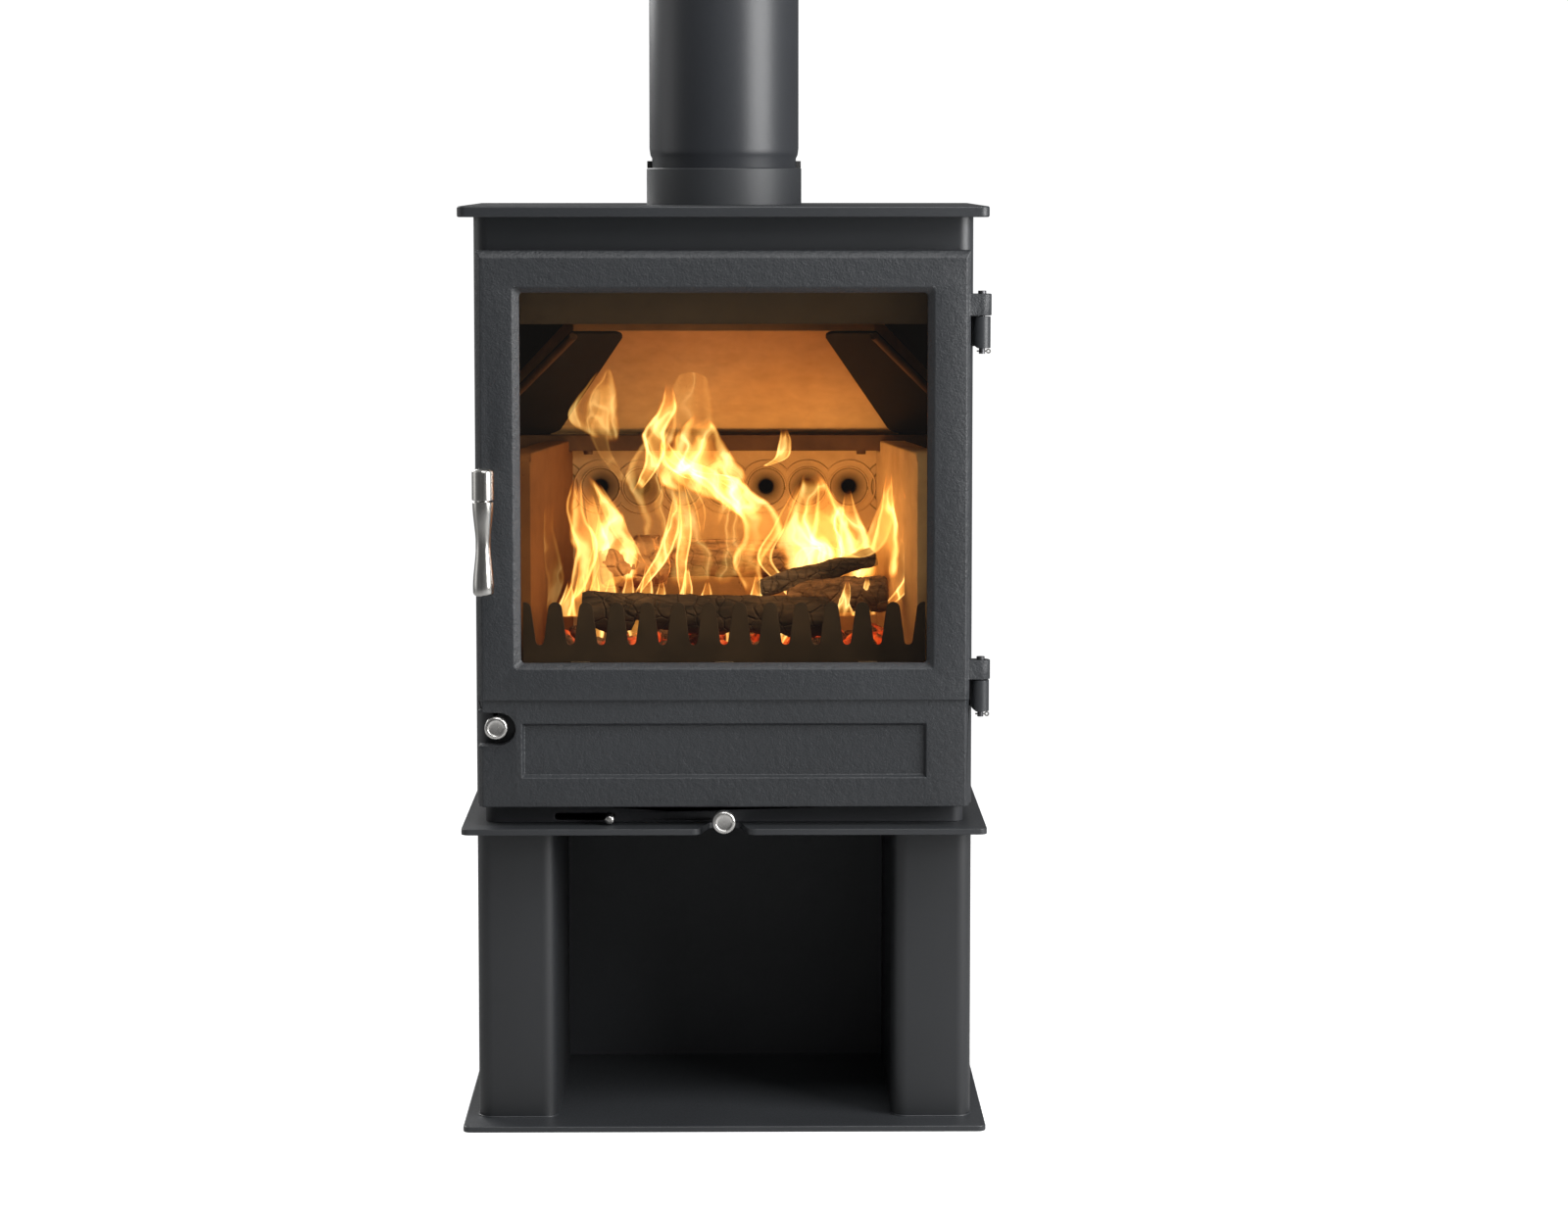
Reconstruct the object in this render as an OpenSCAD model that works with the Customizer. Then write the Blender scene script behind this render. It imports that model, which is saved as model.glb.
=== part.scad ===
// Wood burning stove on a log store stand, with its flue collar and a length of flue pipe.
// Units are millimetres. X runs to the right, Y to the back and Z up.
// The origin is the centre of the base plate's underside.

/* [Plates] */
// Width of the base, shelf and top plates
plate_w = 512; // [506:1:530]
// Depth of the base, shelf and top plates
plate_d = 375; // [370:1:385]
// Thickness of the base and shelf plates
plate_t = 6; // [5:0.5:8]
// Thickness of the top plate
top_t = 10.5; // [8:0.5:14]
// Distance from the plates' front edge back to the body and the legs
setback = 40; // [38:0.5:42]

/* [Log store] */
// Height of the log store, from the floor to the top of its shelf plate
store_h = 300; // [200:5:450]
// Width of one leg
leg_w = 78; // [60:1:90]
// Thickness of the folded steel sheet in the legs
leg_t = 3; // [2:0.5:5]
// Width of the front notch in the shelf plate
notch_w = 43.6; // [38:0.2:48]
// Depth of the front notch in the shelf plate
notch_d = 43; // [41:1:44]

/* [Body] */
// Width of the steel body
body_w = 486; // [484:1:490]
// Depth of the steel body
body_d = 312.5; // [310:0.5:318]
// Height of the body with its plinth, up to the top plate
body_h = 593; // [590:1:610]
// Height of the recessed plinth under the body
plinth_h = 18; // [17.5:0.5:20]
// Thickness of the body's steel sheet
sheet_t = 4; // [3.5:0.5:4]

/* [Door] */
// Width of the cast door
door_w = 478; // [476:1:480]
// Height of the cast door
door_h = 541.5; // [538:0.5:545]
// Thickness of the cast door, from its front face to its back edge
door_t = 25.5; // [25:0.5:26]
// Height of the lower panel, up to the ledge under the window part
ledge_h = 105; // [104:0.5:106]
// Width of the visible window
window_w = 394; // [388:1:396]
// Height of the visible window
window_h = 359; // [350:1:359]

/* [Flue] */
// Outer diameter of the flue pipe
pipe_d = 150; // [149:0.5:151]
// Outer diameter of the pipe's swaged end
pipe_end_d = 144.8; // [144:0.2:145.6]
// Length of the flue pipe
pipe_len = 250; // [120:10:500]
// Wall thickness of the flue pipe
pipe_t = 1.2; // [1:0.1:2]
// Height of the flue collar above the top plate
collar_h = 36.5; // [30:0.5:50]

/* [Controls] */
// Diameter of the two turned knobs
knob_d = 22.4; // [20:0.2:22.6]
// Length of the turned grip on the door handle
grip_len = 91; // [80:1:100]
// Diameter of the control rods
rod_d = 8; // [6:0.5:8]

/* [Firebox] */
// Number of teeth on the log retainer
teeth = 12; // [8:2:12]
// Number of air holes in the rear fire brick
air_holes = 7; // [3:2:7]
// Thickness of the fire bricks
brick_t = 25; // [20:1:25]

/* [Hidden] */
$fn = 72;

paint = "#3a3c3f";
dark_steel = "#2b2c2e";
stainless = "#c9c7c2";
brick = "#d9c9a8";
rope = "#1c1c1c";

// Shared small values
gap = 0.4; // between solids that move past each other
fit = 0.06; // radial clearance of a shaft in its hole
cut = 1; // how far a cutting shape runs past a face

// Main planes
plate_y0 = -plate_d / 2;
plate_y1 = plate_d / 2;
body_y0 = plate_y0 + setback;
body_y1 = body_y0 + body_d;
in_y0 = body_y0 + sheet_t;
in_x = body_w / 2 - sheet_t;
floor_z = store_h + plinth_h;
floor_t = 5;
body_z1 = store_h + body_h;
top_z1 = body_z1 + top_t;
body_r = 15;

// Door planes
door_y1 = body_y0 - 3;
door_y0 = door_y1 - door_t;
door_x = door_w / 2;
door_z0 = floor_z + 1.5;
door_z1 = door_z0 + door_h;
ledge_z = door_z0 + ledge_h;
upper_back_y = door_y0 + 8;
lower_face_y = door_y0 + 3.5;
lower_back_y = lower_face_y + 8;
rim_t = 4;
win_x = window_w / 2;
win_z0 = ledge_z + 36.5;
win_z1 = win_z0 + window_h;
bevel_x = 7;
bevel_z = 6;

// Rope seal: half widths of its centre line above and below the step, and its heights
seal_x = 210;
seal_low_x = 192;
seal_z0 = door_z0 + 14.5;
seal_step_z = ledge_z + 15.5;
seal_z1 = door_z1 - 15;
seal_half = 4;
seal_y0 = door_y1 - 9.5;

// Hinge
pin_x = 250;
pin_y = (door_y0 + door_y1) / 2;
pin_r = 3;
lug_zs = [ledge_z + 373.5, ledge_z + 19.5];
lug_h = [21, 19];
knuckle_h = 30.5;
knuckle_r = 8.3;

// Handle and latch
handle_x = -231;
handle_y = door_y0 - 29;
spindle_z = 637.7;
spindle_r = 5;
head_r = 10.6;
head_z0 = spindle_z - 15.2;
head_z1 = spindle_z + 14.9;

// Controls
riddle_x = -221.5;
riddle_z = 398;
pocket_z = 396;
pocket_r = 16;
pocket_x = -219;
air_z = store_h + 7.3;
lever_z = store_h + 5.7;
lever_x = -112;
lever_travel = 50;

// Fire bed and bricks
bed_z0 = 432;
bed_z1 = 442;
brick_y = 105;
brick_front_y = -105;
brick_z1 = 660;
brick_front_x = 190.5;
brick_back_x = 157;
hole_pitch = 42.9;
hole_z = 611;
comb_y = -118;
comb_pitch = 30.26;
bar_pitch = 20;
bars = 7;

// Baffle: its upper front edge, its slope and its length
baffle_y = -60;
baffle_z = 779;
baffle_slope = -34.8;
baffle_len = 195;

// Flue
flue_y = 15;
collar_r = 77.85;
collar_bore = 74;
pipe_z0 = top_z1 + 6;
collar_z1 = top_z1 + collar_h;
shoulder_z = collar_z1 + 9.5;
pipe_z1 = pipe_z0 + pipe_len;

// ---------- shape helpers ----------

function arc(cx, cy, r, a0, a1, n = 8) =
    [for (i = [0:n]) let (a = a0 + (a1 - a0) * i / n) [cx + r * cos(a), cy + r * sin(a)]];

// Rounded rectangle from (x0, y0) to (x1, y1), with radii for its low and its high edge
function rounded(x0, y0, x1, y1, r0, r1) = concat(
    arc(x0 + r0, y0 + r0, r0, 180, 270), arc(x1 - r0, y0 + r0, r0, 270, 360),
    arc(x1 - r1, y1 - r1, r1, 0, 90), arc(x0 + r1, y1 - r1, r1, 90, 180));

// A block from its low corner to its high corner
module block(low, high) { translate(low) cube(high - low); }

// A plan outline extruded from z0 to z1
module slab(z0, z1) { translate([0, 0, z0]) linear_extrude(z1 - z0) children(); }

// An X-Z outline extruded from y0 to y1
module panel(y0, y1) { translate([0, y1, 0]) rotate([90, 0, 0]) linear_extrude(y1 - y0) children(); }

// A Y-Z outline extruded from x0 to x1
module profile(x0, x1) { translate([x0, 0, 0]) rotate([90, 0, 90]) linear_extrude(x1 - x0) children(); }

// Round bars along each axis
module rod_y(x, z, r, y0, y1) { translate([x, y1, z]) rotate([90, 0, 0]) cylinder(r = r, h = y1 - y0); }
module rod_x(y, z, r, x0, x1) { translate([x0, y, z]) rotate([0, 90, 0]) cylinder(r = r, h = x1 - x0); }
module rod_z(x, y, r, z0, z1) { translate([x, y, z0]) cylinder(r = r, h = z1 - z0); }

// A hexagon head or nut along Z
module hex_z(x, y, across, z0, z1) {
    translate([x, y, z0]) cylinder(d = across / cos(30), h = z1 - z0, $fn = 6);
}

// A rectangular window through a Y thickness, wider at y0 than at y1
module tapered_window(x, z0, z1, dx, dz, y0, y1) {
    intersection() {
        slab(z0 - dz - cut, z1 + dz + cut)
            polygon([[-x - dx, y0], [x + dx, y0], [x, y1], [-x, y1]]);
        profile(-x - dx - cut, x + dx + cut)
            polygon([[y0, z0 - dz], [y1, z0], [y1, z1], [y0, z1 + dz]]);
    }
}

// ---------- log store ----------

module store_plate(z0) {
    slab(z0, z0 + plate_t)
        polygon(rounded(-plate_w / 2, plate_y0, plate_w / 2, plate_y1, 8, 8));
}

module log_store_base_plate() color(paint) store_plate(0);

module leg(side) {
    x0 = side < 0 ? -body_w / 2 : body_w / 2 - leg_w;
    x1 = x0 + leg_w;
    slab(plate_t, store_h - plate_t) difference() {
        polygon(rounded(x0, body_y0, x1, body_y1, 15, 8));
        polygon(rounded(x0 + leg_t, body_y0 + leg_t, x1 - leg_t, body_y1 - leg_t, 12, 5));
    }
}

module log_store_left_leg() color(paint) leg(-1);
module log_store_right_leg() color(paint) leg(1);

module log_store_back_panel() color(dark_steel)
    block([-body_w / 2 + leg_w, body_y1 - 28, plate_t], [body_w / 2 - leg_w, body_y1 - 25, store_h - plate_t]);

store_bolt_xy = [for (x = [-150, 150], y = [-20, 120]) [x, y]];
store_bolt_r = 4;

module log_store_top_plate() color(paint) difference() {
    store_plate(store_h - plate_t);
    w = notch_w / 2;
    lip_r = 10;
    root_w = 16;
    slab(store_h - plate_t - cut, store_h + cut) polygon(concat(
        [[-w - lip_r, plate_y0 - cut]], arc(-w - lip_r, plate_y0 + lip_r, lip_r, 270, 360),
        arc(6 - root_w, plate_y0 + notch_d - 6, 6, 180, 90),
        arc(root_w - 6, plate_y0 + notch_d - 6, 6, 90, 0),
        arc(w + lip_r, plate_y0 + lip_r, lip_r, 180, 270), [[w + lip_r, plate_y0 - cut]]));
    for (p = store_bolt_xy)
        rod_z(p[0], p[1], store_bolt_r + 0.3, store_h - plate_t - cut, store_h + cut);
}

module log_store_bolts() color("#8c8c88") for (p = store_bolt_xy) {
    rod_z(p[0], p[1], store_bolt_r, store_h - plate_t, floor_z + floor_t - 0.5);
    hex_z(p[0], p[1], 13, store_h - plate_t - 5.3, store_h - plate_t);
}

// ---------- body ----------

plinth_in = 8;

module plinth() color(dark_steel) difference() {
    x = body_w / 2 - plinth_in;
    slab(store_h, floor_z) difference() {
        polygon(rounded(-x, body_y0 + 4, x, body_y1 - 4, 12, 6));
        polygon(rounded(-x + 4, body_y0 + 8, x - 4, body_y1 - 8, 8, 2));
    }
    rod_y(0, air_z, rod_d / 2 + fit, body_y0, body_y0 + 10);
    panel(body_y0, body_y0 + 10) polygon(concat(
        arc(lever_x - lever_travel - 1, lever_z, 3.6, 90, 270), arc(lever_x + 1, lever_z, 3.6, 270, 450)));
    block([-80, body_y1 - 10, store_h + 3], [80, body_y1, floor_z - 3]);
}

module body_floor() color(dark_steel) difference() {
    x = in_x - 0.2;
    slab(floor_z, floor_z + floor_t)
        polygon(rounded(-x, in_y0 + 0.2, x, body_y1 - 5.2, 11, 2));
    for (i = [0:2]) block([-40, -60 + 22 * i, floor_z - cut], [40, -48 + 22 * i, floor_z + floor_t + cut]);
    block([-150, -122, floor_z - cut], [-100, -112, floor_z + floor_t + cut]);
    block([-60, 136, floor_z - cut], [60, 154, floor_z + floor_t + cut]);
    for (p = store_bolt_xy)
        rod_z(p[0], p[1], store_bolt_r + 0.1, floor_z - cut, floor_z + floor_t + cut);
}

// Outline of the body's mouth: narrower beside the ash pan, to clear the riddling rod
module mouth() {
    low = seal_low_x - 8;
    high = seal_x - 8;
    step = seal_step_z + 8;
    polygon([[-low, seal_z0 + 8], [low, seal_z0 + 8], [low, step], [high, step],
        [high, seal_z1 - 8], [-high, seal_z1 - 8], [-high, step], [-low, step]]);
}

hinge_screw_y = [-122, -108];

module body_shell() color(paint) difference() {
    slab(floor_z, body_z1) difference() {
        polygon(rounded(-body_w / 2, body_y0, body_w / 2, body_y1 + 20, body_r, 1));
        polygon(rounded(-in_x, in_y0, in_x, body_y1 + 40, body_r - sheet_t, 1));
        translate([-body_w, body_y1]) square([2 * body_w, 60]);
    }
    panel(body_y0 - cut, in_y0 + cut) mouth();
    rod_y(riddle_x, riddle_z, rod_d / 2 + fit, body_y0 - cut, in_y0 + cut);
    for (z = knuckle_screw_zs, y = hinge_screw_y)
        rod_x(y, z, 2.6, in_x - cut, body_w / 2 + cut, $fn = 24);
}

outlet_z = 790;
outlet_r = 66;
blank_r = 84;
blank_bolt_xz = [for (a = [45:90:315]) [75 * cos(a), outlet_z + 75 * sin(a)]];

module body_back_panel() color(paint) difference() {
    block([-in_x, body_y1 - 5, floor_z], [in_x, body_y1, body_z1]);
    rod_y(0, outlet_z, outlet_r, body_y1 - 5 - cut, body_y1 + cut);
    for (p = blank_bolt_xz) rod_y(p[0], p[1], 3.1, body_y1 - 5 - cut, body_y1 + cut, $fn = 24);
}

module rear_flue_blanking_plate() color(paint) difference() {
    rod_y(0, outlet_z, blank_r, body_y1, body_y1 + 5);
    for (p = blank_bolt_xz) rod_y(p[0], p[1], 3.1, body_y1 - cut, body_y1 + 5 + cut, $fn = 24);
}

module blanking_plate_bolts() color("#8c8c88") for (p = blank_bolt_xz) {
    rod_y(p[0], p[1], 3, body_y1 - 9, body_y1 + 5, $fn = 24);
    translate([p[0], body_y1 + 9, p[1]]) rotate([90, 0, 0]) cylinder(d = 10 / cos(30), h = 4, $fn = 6);
}

module top_plate() color(paint) difference() {
    slab(body_z1, top_z1)
        polygon(rounded(-plate_w / 2, plate_y0, plate_w / 2, plate_y1, 9, 9));
    rod_z(0, flue_y, 67, body_z1 - cut, top_z1 + cut);
}

// ---------- flue ----------

module ring(points) { translate([0, flue_y, 0]) rotate_extrude() polygon(points); }

module flue_collar() color(dark_steel) ring([
    [68, top_z1], [collar_r, top_z1], [collar_r, collar_z1 - 0.8], [collar_r - 0.8, collar_z1],
    [collar_bore, collar_z1], [collar_bore, pipe_z0], [68, pipe_z0]]);

module flue_seal_ring() color(rope) difference() {
    inner = pipe_end_d / 2;
    ring([[inner, pipe_z0 + 8], [collar_bore, pipe_z0 + 8], [collar_bore, collar_z1],
        [collar_r - 0.5, collar_z1], [collar_r - 0.5, collar_z1 + 7], [inner, collar_z1 + 7]]);
    block([-100, -100, collar_z1], [100, flue_y, collar_z1 + 20]);
}

module flue_pipe() color(paint) {
    r0 = pipe_end_d / 2;
    r1 = pipe_d / 2;
    ring([[r0 - pipe_t, pipe_z0], [r0, pipe_z0], [r0, shoulder_z], [r0 + 1.7, shoulder_z + 3.5],
        [r1, shoulder_z + 10], [r1, pipe_z1], [r1 - pipe_t, pipe_z1], [r1 - pipe_t, shoulder_z + 10],
        [r0 + 1.7 - pipe_t, shoulder_z + 3.5], [r0 - pipe_t, shoulder_z]]);
}

// ---------- firebox ----------

module rear_fire_brick() color(brick) difference() {
    block([-180, brick_y, bed_z1], [180, brick_y + brick_t, brick_z1 + 8]);
    for (i = [0:air_holes - 1]) translate([(i - (air_holes - 1) / 2) * hole_pitch, brick_y, hole_z])
        rotate([-90, 0, 0]) {
            translate([0, 0, -cut]) cylinder(r = 7.4, h = brick_t + 2 * cut);
            translate([0, 0, -0.01]) cylinder(r1 = 19.5, r2 = 10, h = 4);
        }
}

module side_fire_brick(side) {
    thick_x = brick_t * 1.013;
    corner_r = 12;
    difference() {
        slab(bed_z1, brick_z1) polygon([
            [side * brick_front_x, brick_front_y], [side * brick_back_x, brick_y - 0.3],
            [side * (brick_back_x + thick_x), brick_y - 0.3],
            [side * (brick_front_x + thick_x), brick_front_y]]);
        profile(-300, 300) difference() {
            translate([brick_front_y - cut, brick_z1 - corner_r]) square([corner_r + cut, corner_r + cut]);
            polygon(concat(arc(brick_front_y + corner_r, brick_z1 - corner_r, corner_r, 180, 90),
                [[brick_front_y + corner_r + 5, brick_z1], [brick_front_y + corner_r + 5, brick_z1 - 40],
                [brick_front_y, brick_z1 - 40]]));
        }
        block([-300, rail_y0 - 1, rail_z0 - 0.5], [300, brick_y, brick_z1 + cut]);
    }
}

module left_fire_brick() color(brick) side_fire_brick(-1);
module right_fire_brick() color(brick) side_fire_brick(1);

// Places a shape in the baffle's sloping plane: Y down the slope, Z out of its upper side
module on_baffle() { translate([0, baffle_y, baffle_z]) rotate([baffle_slope, 0, 0]) children(); }

module baffle_board() color(brick) on_baffle() linear_extrude(20) polygon([
    [-150, 0], [150, 0], [208, baffle_len * 0.55], [208, baffle_len], [-208, baffle_len],
    [-208, baffle_len * 0.55]]);

// A steel side plate under the baffle, with its outer edge folded down
module baffle_side_plate(side) on_baffle() mirror([side < 0 ? 1 : 0, 0, 0]) {
    translate([0, 0, -3]) linear_extrude(3) polygon(concat(
        arc(109, 8, 8, 180, 270), [[151, 0], [212, baffle_len * 0.55], [212, baffle_len - 2]],
        arc(186, baffle_len - 22, 20, 90, 165)));
    edge_len = norm([61, baffle_len * 0.55]);
    translate([151, 0, -3]) rotate([0, 0, atan2(baffle_len * 0.55, 61) - 90])
        translate([-5, 2, -6]) cube([5, edge_len - 6, 6]);
}

module baffle_left_plate() color(dark_steel) baffle_side_plate(-1);
module baffle_right_plate() color(dark_steel) baffle_side_plate(1);

rail_x = [-141, 0, 141];
rail_z0 = 649.5;
rail_y0 = 87;

module baffle_support_rail() color(dark_steel) difference() {
    block([-in_x + 0.5, rail_y0, rail_z0], [in_x - 0.5, brick_y - 0.5, rail_z0 + 16]);
    for (x = rail_x) rod_z(x, 95, 3.2, rail_z0 - cut, rail_z0 + 10, $fn = 24);
}

module rail_bolts() color(dark_steel) for (x = rail_x) {
    rod_z(x, 95, 3, rail_z0, rail_z0 + 9, $fn = 24);
    rod_z(x, 95, 4.8, rail_z0 - 4, rail_z0, $fn = 24);
}

module air_wash_deflector() color("#3b3733") {
    y = in_y0;
    z = win_z1;
    profile(-win_x - 2, win_x + 2) polygon([
        [y, z + 40], [y, z + 18], [y + 4.5, z - 3], [y + 22.5, z - 32], [y + 31, z - 28],
        [y + 30, z - 25.5], [y + 23.3, z - 28.5], [y + 6.9, z - 2], [y + 2.5, z + 18.5],
        [y + 2.5, z + 40]]);
}

module rear_air_duct() color(dark_steel) difference() {
    y0 = brick_y + brick_t + 0.3;
    y1 = body_y1 - 5;
    block([-150, y0, floor_z + floor_t], [150, y1, 655]);
    block([-148, y0 + 2, floor_z + floor_t - cut], [148, y1 - 2, 653]);
    for (i = [0:air_holes - 1])
        rod_y((i - (air_holes - 1) / 2) * hole_pitch, hole_z, 7.4, y0 - cut, y0 + 2 + cut);
}

// One tooth of the log retainer and the slot to its right
function tooth(x) = concat(
    arc(x, 514.5 - 6.8, 6.8, 176, 4), arc(x + comb_pitch / 2, 472 + 4, 4, 184, 356));

module log_retainer() color(dark_steel) {
    start = -(teeth + 1) / 2 * comb_pitch;
    panel(comb_y, comb_y + 3) intersection() {
        polygon(concat([[start - comb_pitch, bed_z1]],
            [for (i = [0:teeth + 1]) each tooth(start + i * comb_pitch)],
            [[-start + comb_pitch, bed_z1]]));
        translate([-198, bed_z1]) square([396, 100]);
    }
    block([-198, comb_y + 3, bed_z1], [198, comb_y + 12.5, bed_z1 + 3]);
}

// Slots of the grate, cut through both of its layers
module bar_slots(z0, z1) for (i = [0:bars - 1])
    block([-100, (i - (bars - 1) / 2) * bar_pitch - 5, z0 - cut],
        [100, (i - (bars - 1) / 2) * bar_pitch + 5, z1 + cut]);

module fire_grate() color(dark_steel) difference() {
    block([-in_x + 0.5, -123, bed_z0], [in_x - 0.5, brick_y + brick_t, bed_z1]);
    bar_slots(bed_z0, bed_z1);
}

grate_x = 118;
grate_z0 = bed_z0 - 8;

module grate_ledges() color(dark_steel) for (side = [-1, 1]) mirror([side < 0 ? 1 : 0, 0, 0]) {
    block([200, -120, bed_z0 - 6], [in_x, 128, bed_z0]);
    panel(-112, 95) polygon([
        [grate_x + gap, bed_z0], [grate_x + gap, grate_z0 - gap], [grate_x - 8, grate_z0 - gap],
        [grate_x - 8, grate_z0 - gap - 3], [grate_x + 3.4, grate_z0 - gap - 3], [grate_x + 3.4, bed_z0]]);
}

pan_x = 160;
pan_y = [-122, 112];
pan_z = [344, 389];

module ash_pan() color("#4a4b4d") difference() {
    block([-pan_x, pan_y[0], pan_z[0]], [pan_x, pan_y[1], pan_z[1]]);
    block([-pan_x + 1.5, pan_y[0] + 1.5, pan_z[0] + 1.5], [pan_x - 1.5, pan_y[1] - 1.5, pan_z[1] + cut]);
}

module ash_pan_handle() color(stainless) {
    panel(pan_y[0] - 3, pan_y[0]) polygon(rounded(-32, pan_z[0] + 14, 32, pan_z[1] - 9, 4, 4));
    panel(pan_y[0] - 15, pan_y[0] - 3) polygon(rounded(-30, pan_z[1] - 14, 30, pan_z[1] - 11, 1, 1));
}

module ash_pan_runners() color(dark_steel) for (x = [-145, 145])
    block([x - 6, -130, floor_z + floor_t], [x + 6, 115, pan_z[0]]);

// ---------- hinges ----------

knuckle_screw_zs = [for (i = [0, 1]) lug_zs[i] - 1 - knuckle_h / 2];

module hinge_knuckle(i) {
    z1 = lug_zs[i] - 1;
    z0 = z1 - knuckle_h;
    x = body_w / 2;
    difference() {
        union() {
            rod_z(pin_x, pin_y, knuckle_r, z0, z1);
            slab(z0, z1) polygon([[x - 2.4, pin_y + 5], [pin_x, pin_y + 5], [pin_x, pin_y + 10],
                [x + 5, pin_y + 15], [x + 5, -100], [x, -100], [x, body_y0 + body_r],
                [x - 0.6, body_y0 + body_r - 5], [x - 2.4, body_y0 + body_r - 8.5]]);
        }
        rod_z(pin_x, pin_y, pin_r + fit, z0 - cut, z1 + cut);
        panel(pin_y - 20, pin_y + 40)
            polygon([[x - 4, z0 - cut], [pin_x - 4.5, z0 - cut], [pin_x - 4.5, z0], [x - 4, z0 + 4.5]]);
        for (y = hinge_screw_y) rod_x(y, knuckle_screw_zs[i], 2.6, x - cut, x + 5 + cut, $fn = 24);
    }
}

module upper_hinge_knuckle() color(paint) hinge_knuckle(0);
module lower_hinge_knuckle() color(paint) hinge_knuckle(1);

module hinge_pins() color("#55565a") for (i = [0, 1]) difference() {
    top = lug_zs[i] + lug_h[i] + 0.3;
    union() {
        rod_z(pin_x, pin_y, pin_r, lug_zs[i] - knuckle_h - 6.5, top);
        rod_z(pin_x, pin_y, 4, top, top + 2.6);
    }
    rod_x(pin_y, lug_zs[i] - knuckle_h - 4, 0.9, pin_x - 5, pin_x + 5, $fn = 24);
}

module split_pins() color(stainless) for (i = [0, 1]) difference() {
    z = lug_zs[i] - knuckle_h - 4;
    union() {
        rod_x(pin_y, z, 0.8, pin_x - 5, pin_x + 5, $fn = 24);
        rod_y(pin_x + 6.2, z, 2.4, pin_y - 0.7, pin_y + 0.7, $fn = 32);
    }
    rod_y(pin_x + 6.2, z, 1.1, pin_y - 2, pin_y + 2, $fn = 24);
}

module hinge_screws() color(dark_steel) for (z = knuckle_screw_zs, y = hinge_screw_y) {
    rod_x(y, z, 2.5, in_x + 0.5, body_w / 2 + 5, $fn = 24);
    rod_x(y, z, 4.5, body_w / 2 + 5, body_w / 2 + 7.6, $fn = 24);
}

// ---------- latch keeper and air slide guides ----------

cam_len = 13.5;
cam_y0 = door_y1 - 10;
cam_y1 = cam_y0 + 4.5;
keeper_z = spindle_z + 8.5;

module latch_keeper() color(stainless) {
    block([handle_x - 5, cam_y0 - 3.5, keeper_z], [handle_x + 5, cam_y0 - 0.5, keeper_z + 10]);
    block([handle_x - 5, cam_y0 - 0.5, keeper_z + 7], [handle_x + 5, body_y0 - 2.5, keeper_z + 10]);
    block([handle_x + 3.4, body_y0 - 2.5, keeper_z + 2], [-216.8, body_y0, keeper_z + 20]);
    block([handle_x + 3.4, cam_y0 - 0.5, keeper_z + 7], [handle_x + 6, body_y0 - 2.5, keeper_z + 10]);
}

slide_z0 = floor_z - 4.6;
slide_z1 = floor_z - gap;

module air_slide_guides() color(dark_steel) {
    for (side = [-1, 1]) mirror([side < 0 ? 1 : 0, 0, 0])
        panel(-110, 30) polygon([[60 + gap, floor_z], [60 + gap, slide_z0 - gap], [54, slide_z0 - gap],
            [54, slide_z0 - gap - 2], [63, slide_z0 - gap - 2], [63, floor_z]]);
    for (front = [-1, 1]) {
        y = -117;
        outer = y + front * (14 + gap);
        profile(-212, -84) polygon([[outer, floor_z], [outer, slide_z0 - gap],
            [outer - front * 6, slide_z0 - gap], [outer - front * 6, slide_z0 - gap - 2],
            [outer + front * 2.5, slide_z0 - gap - 2], [outer + front * 2.5, floor_z]]);
    }
}

// ---------- door ----------

// Outline at a distance outside (or inside, if negative) the rope seal's centre line
module seal_outline(grow) {
    a = seal_low_x + grow;
    b = seal_x + grow;
    step = seal_step_z - grow;
    polygon([[-a, seal_z0 - grow], [a, seal_z0 - grow], [a, step], [b, step],
        [b, seal_z1 + grow], [-b, seal_z1 + grow], [-b, step], [-a, step]]);
}

module seal_band(inner, outer) difference() { seal_outline(outer); seal_outline(inner); }

// The cast plate's outer form, bevelled towards its front face
module bevelled_plate(y0, y1, z0, z1, side, top) intersection() {
    slab(z0, z1) polygon([[-door_x + side, y0], [door_x - side, y0], [door_x, y0 + 5], [door_x, y1],
        [-door_x, y1], [-door_x, y0 + 5]]);
    profile(-door_x, door_x)
        polygon([[y0, z0], [y1, z0], [y1, z1], [y0 + 5, z1], [y0, z1 - top]]);
}

module pocket(grow) panel(door_y0 - cut, door_y1 + cut) union() {
    translate([-door_x - cut, pocket_z - pocket_r - grow])
        square([pocket_x + door_x + cut, 2 * (pocket_r + grow)]);
    translate([pocket_x, pocket_z]) circle(r = pocket_r + grow);
}

clip_xs = [-140, 0, 140];
clip_zs = [win_z1 + 15.5, win_z0 - 15.5];

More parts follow.
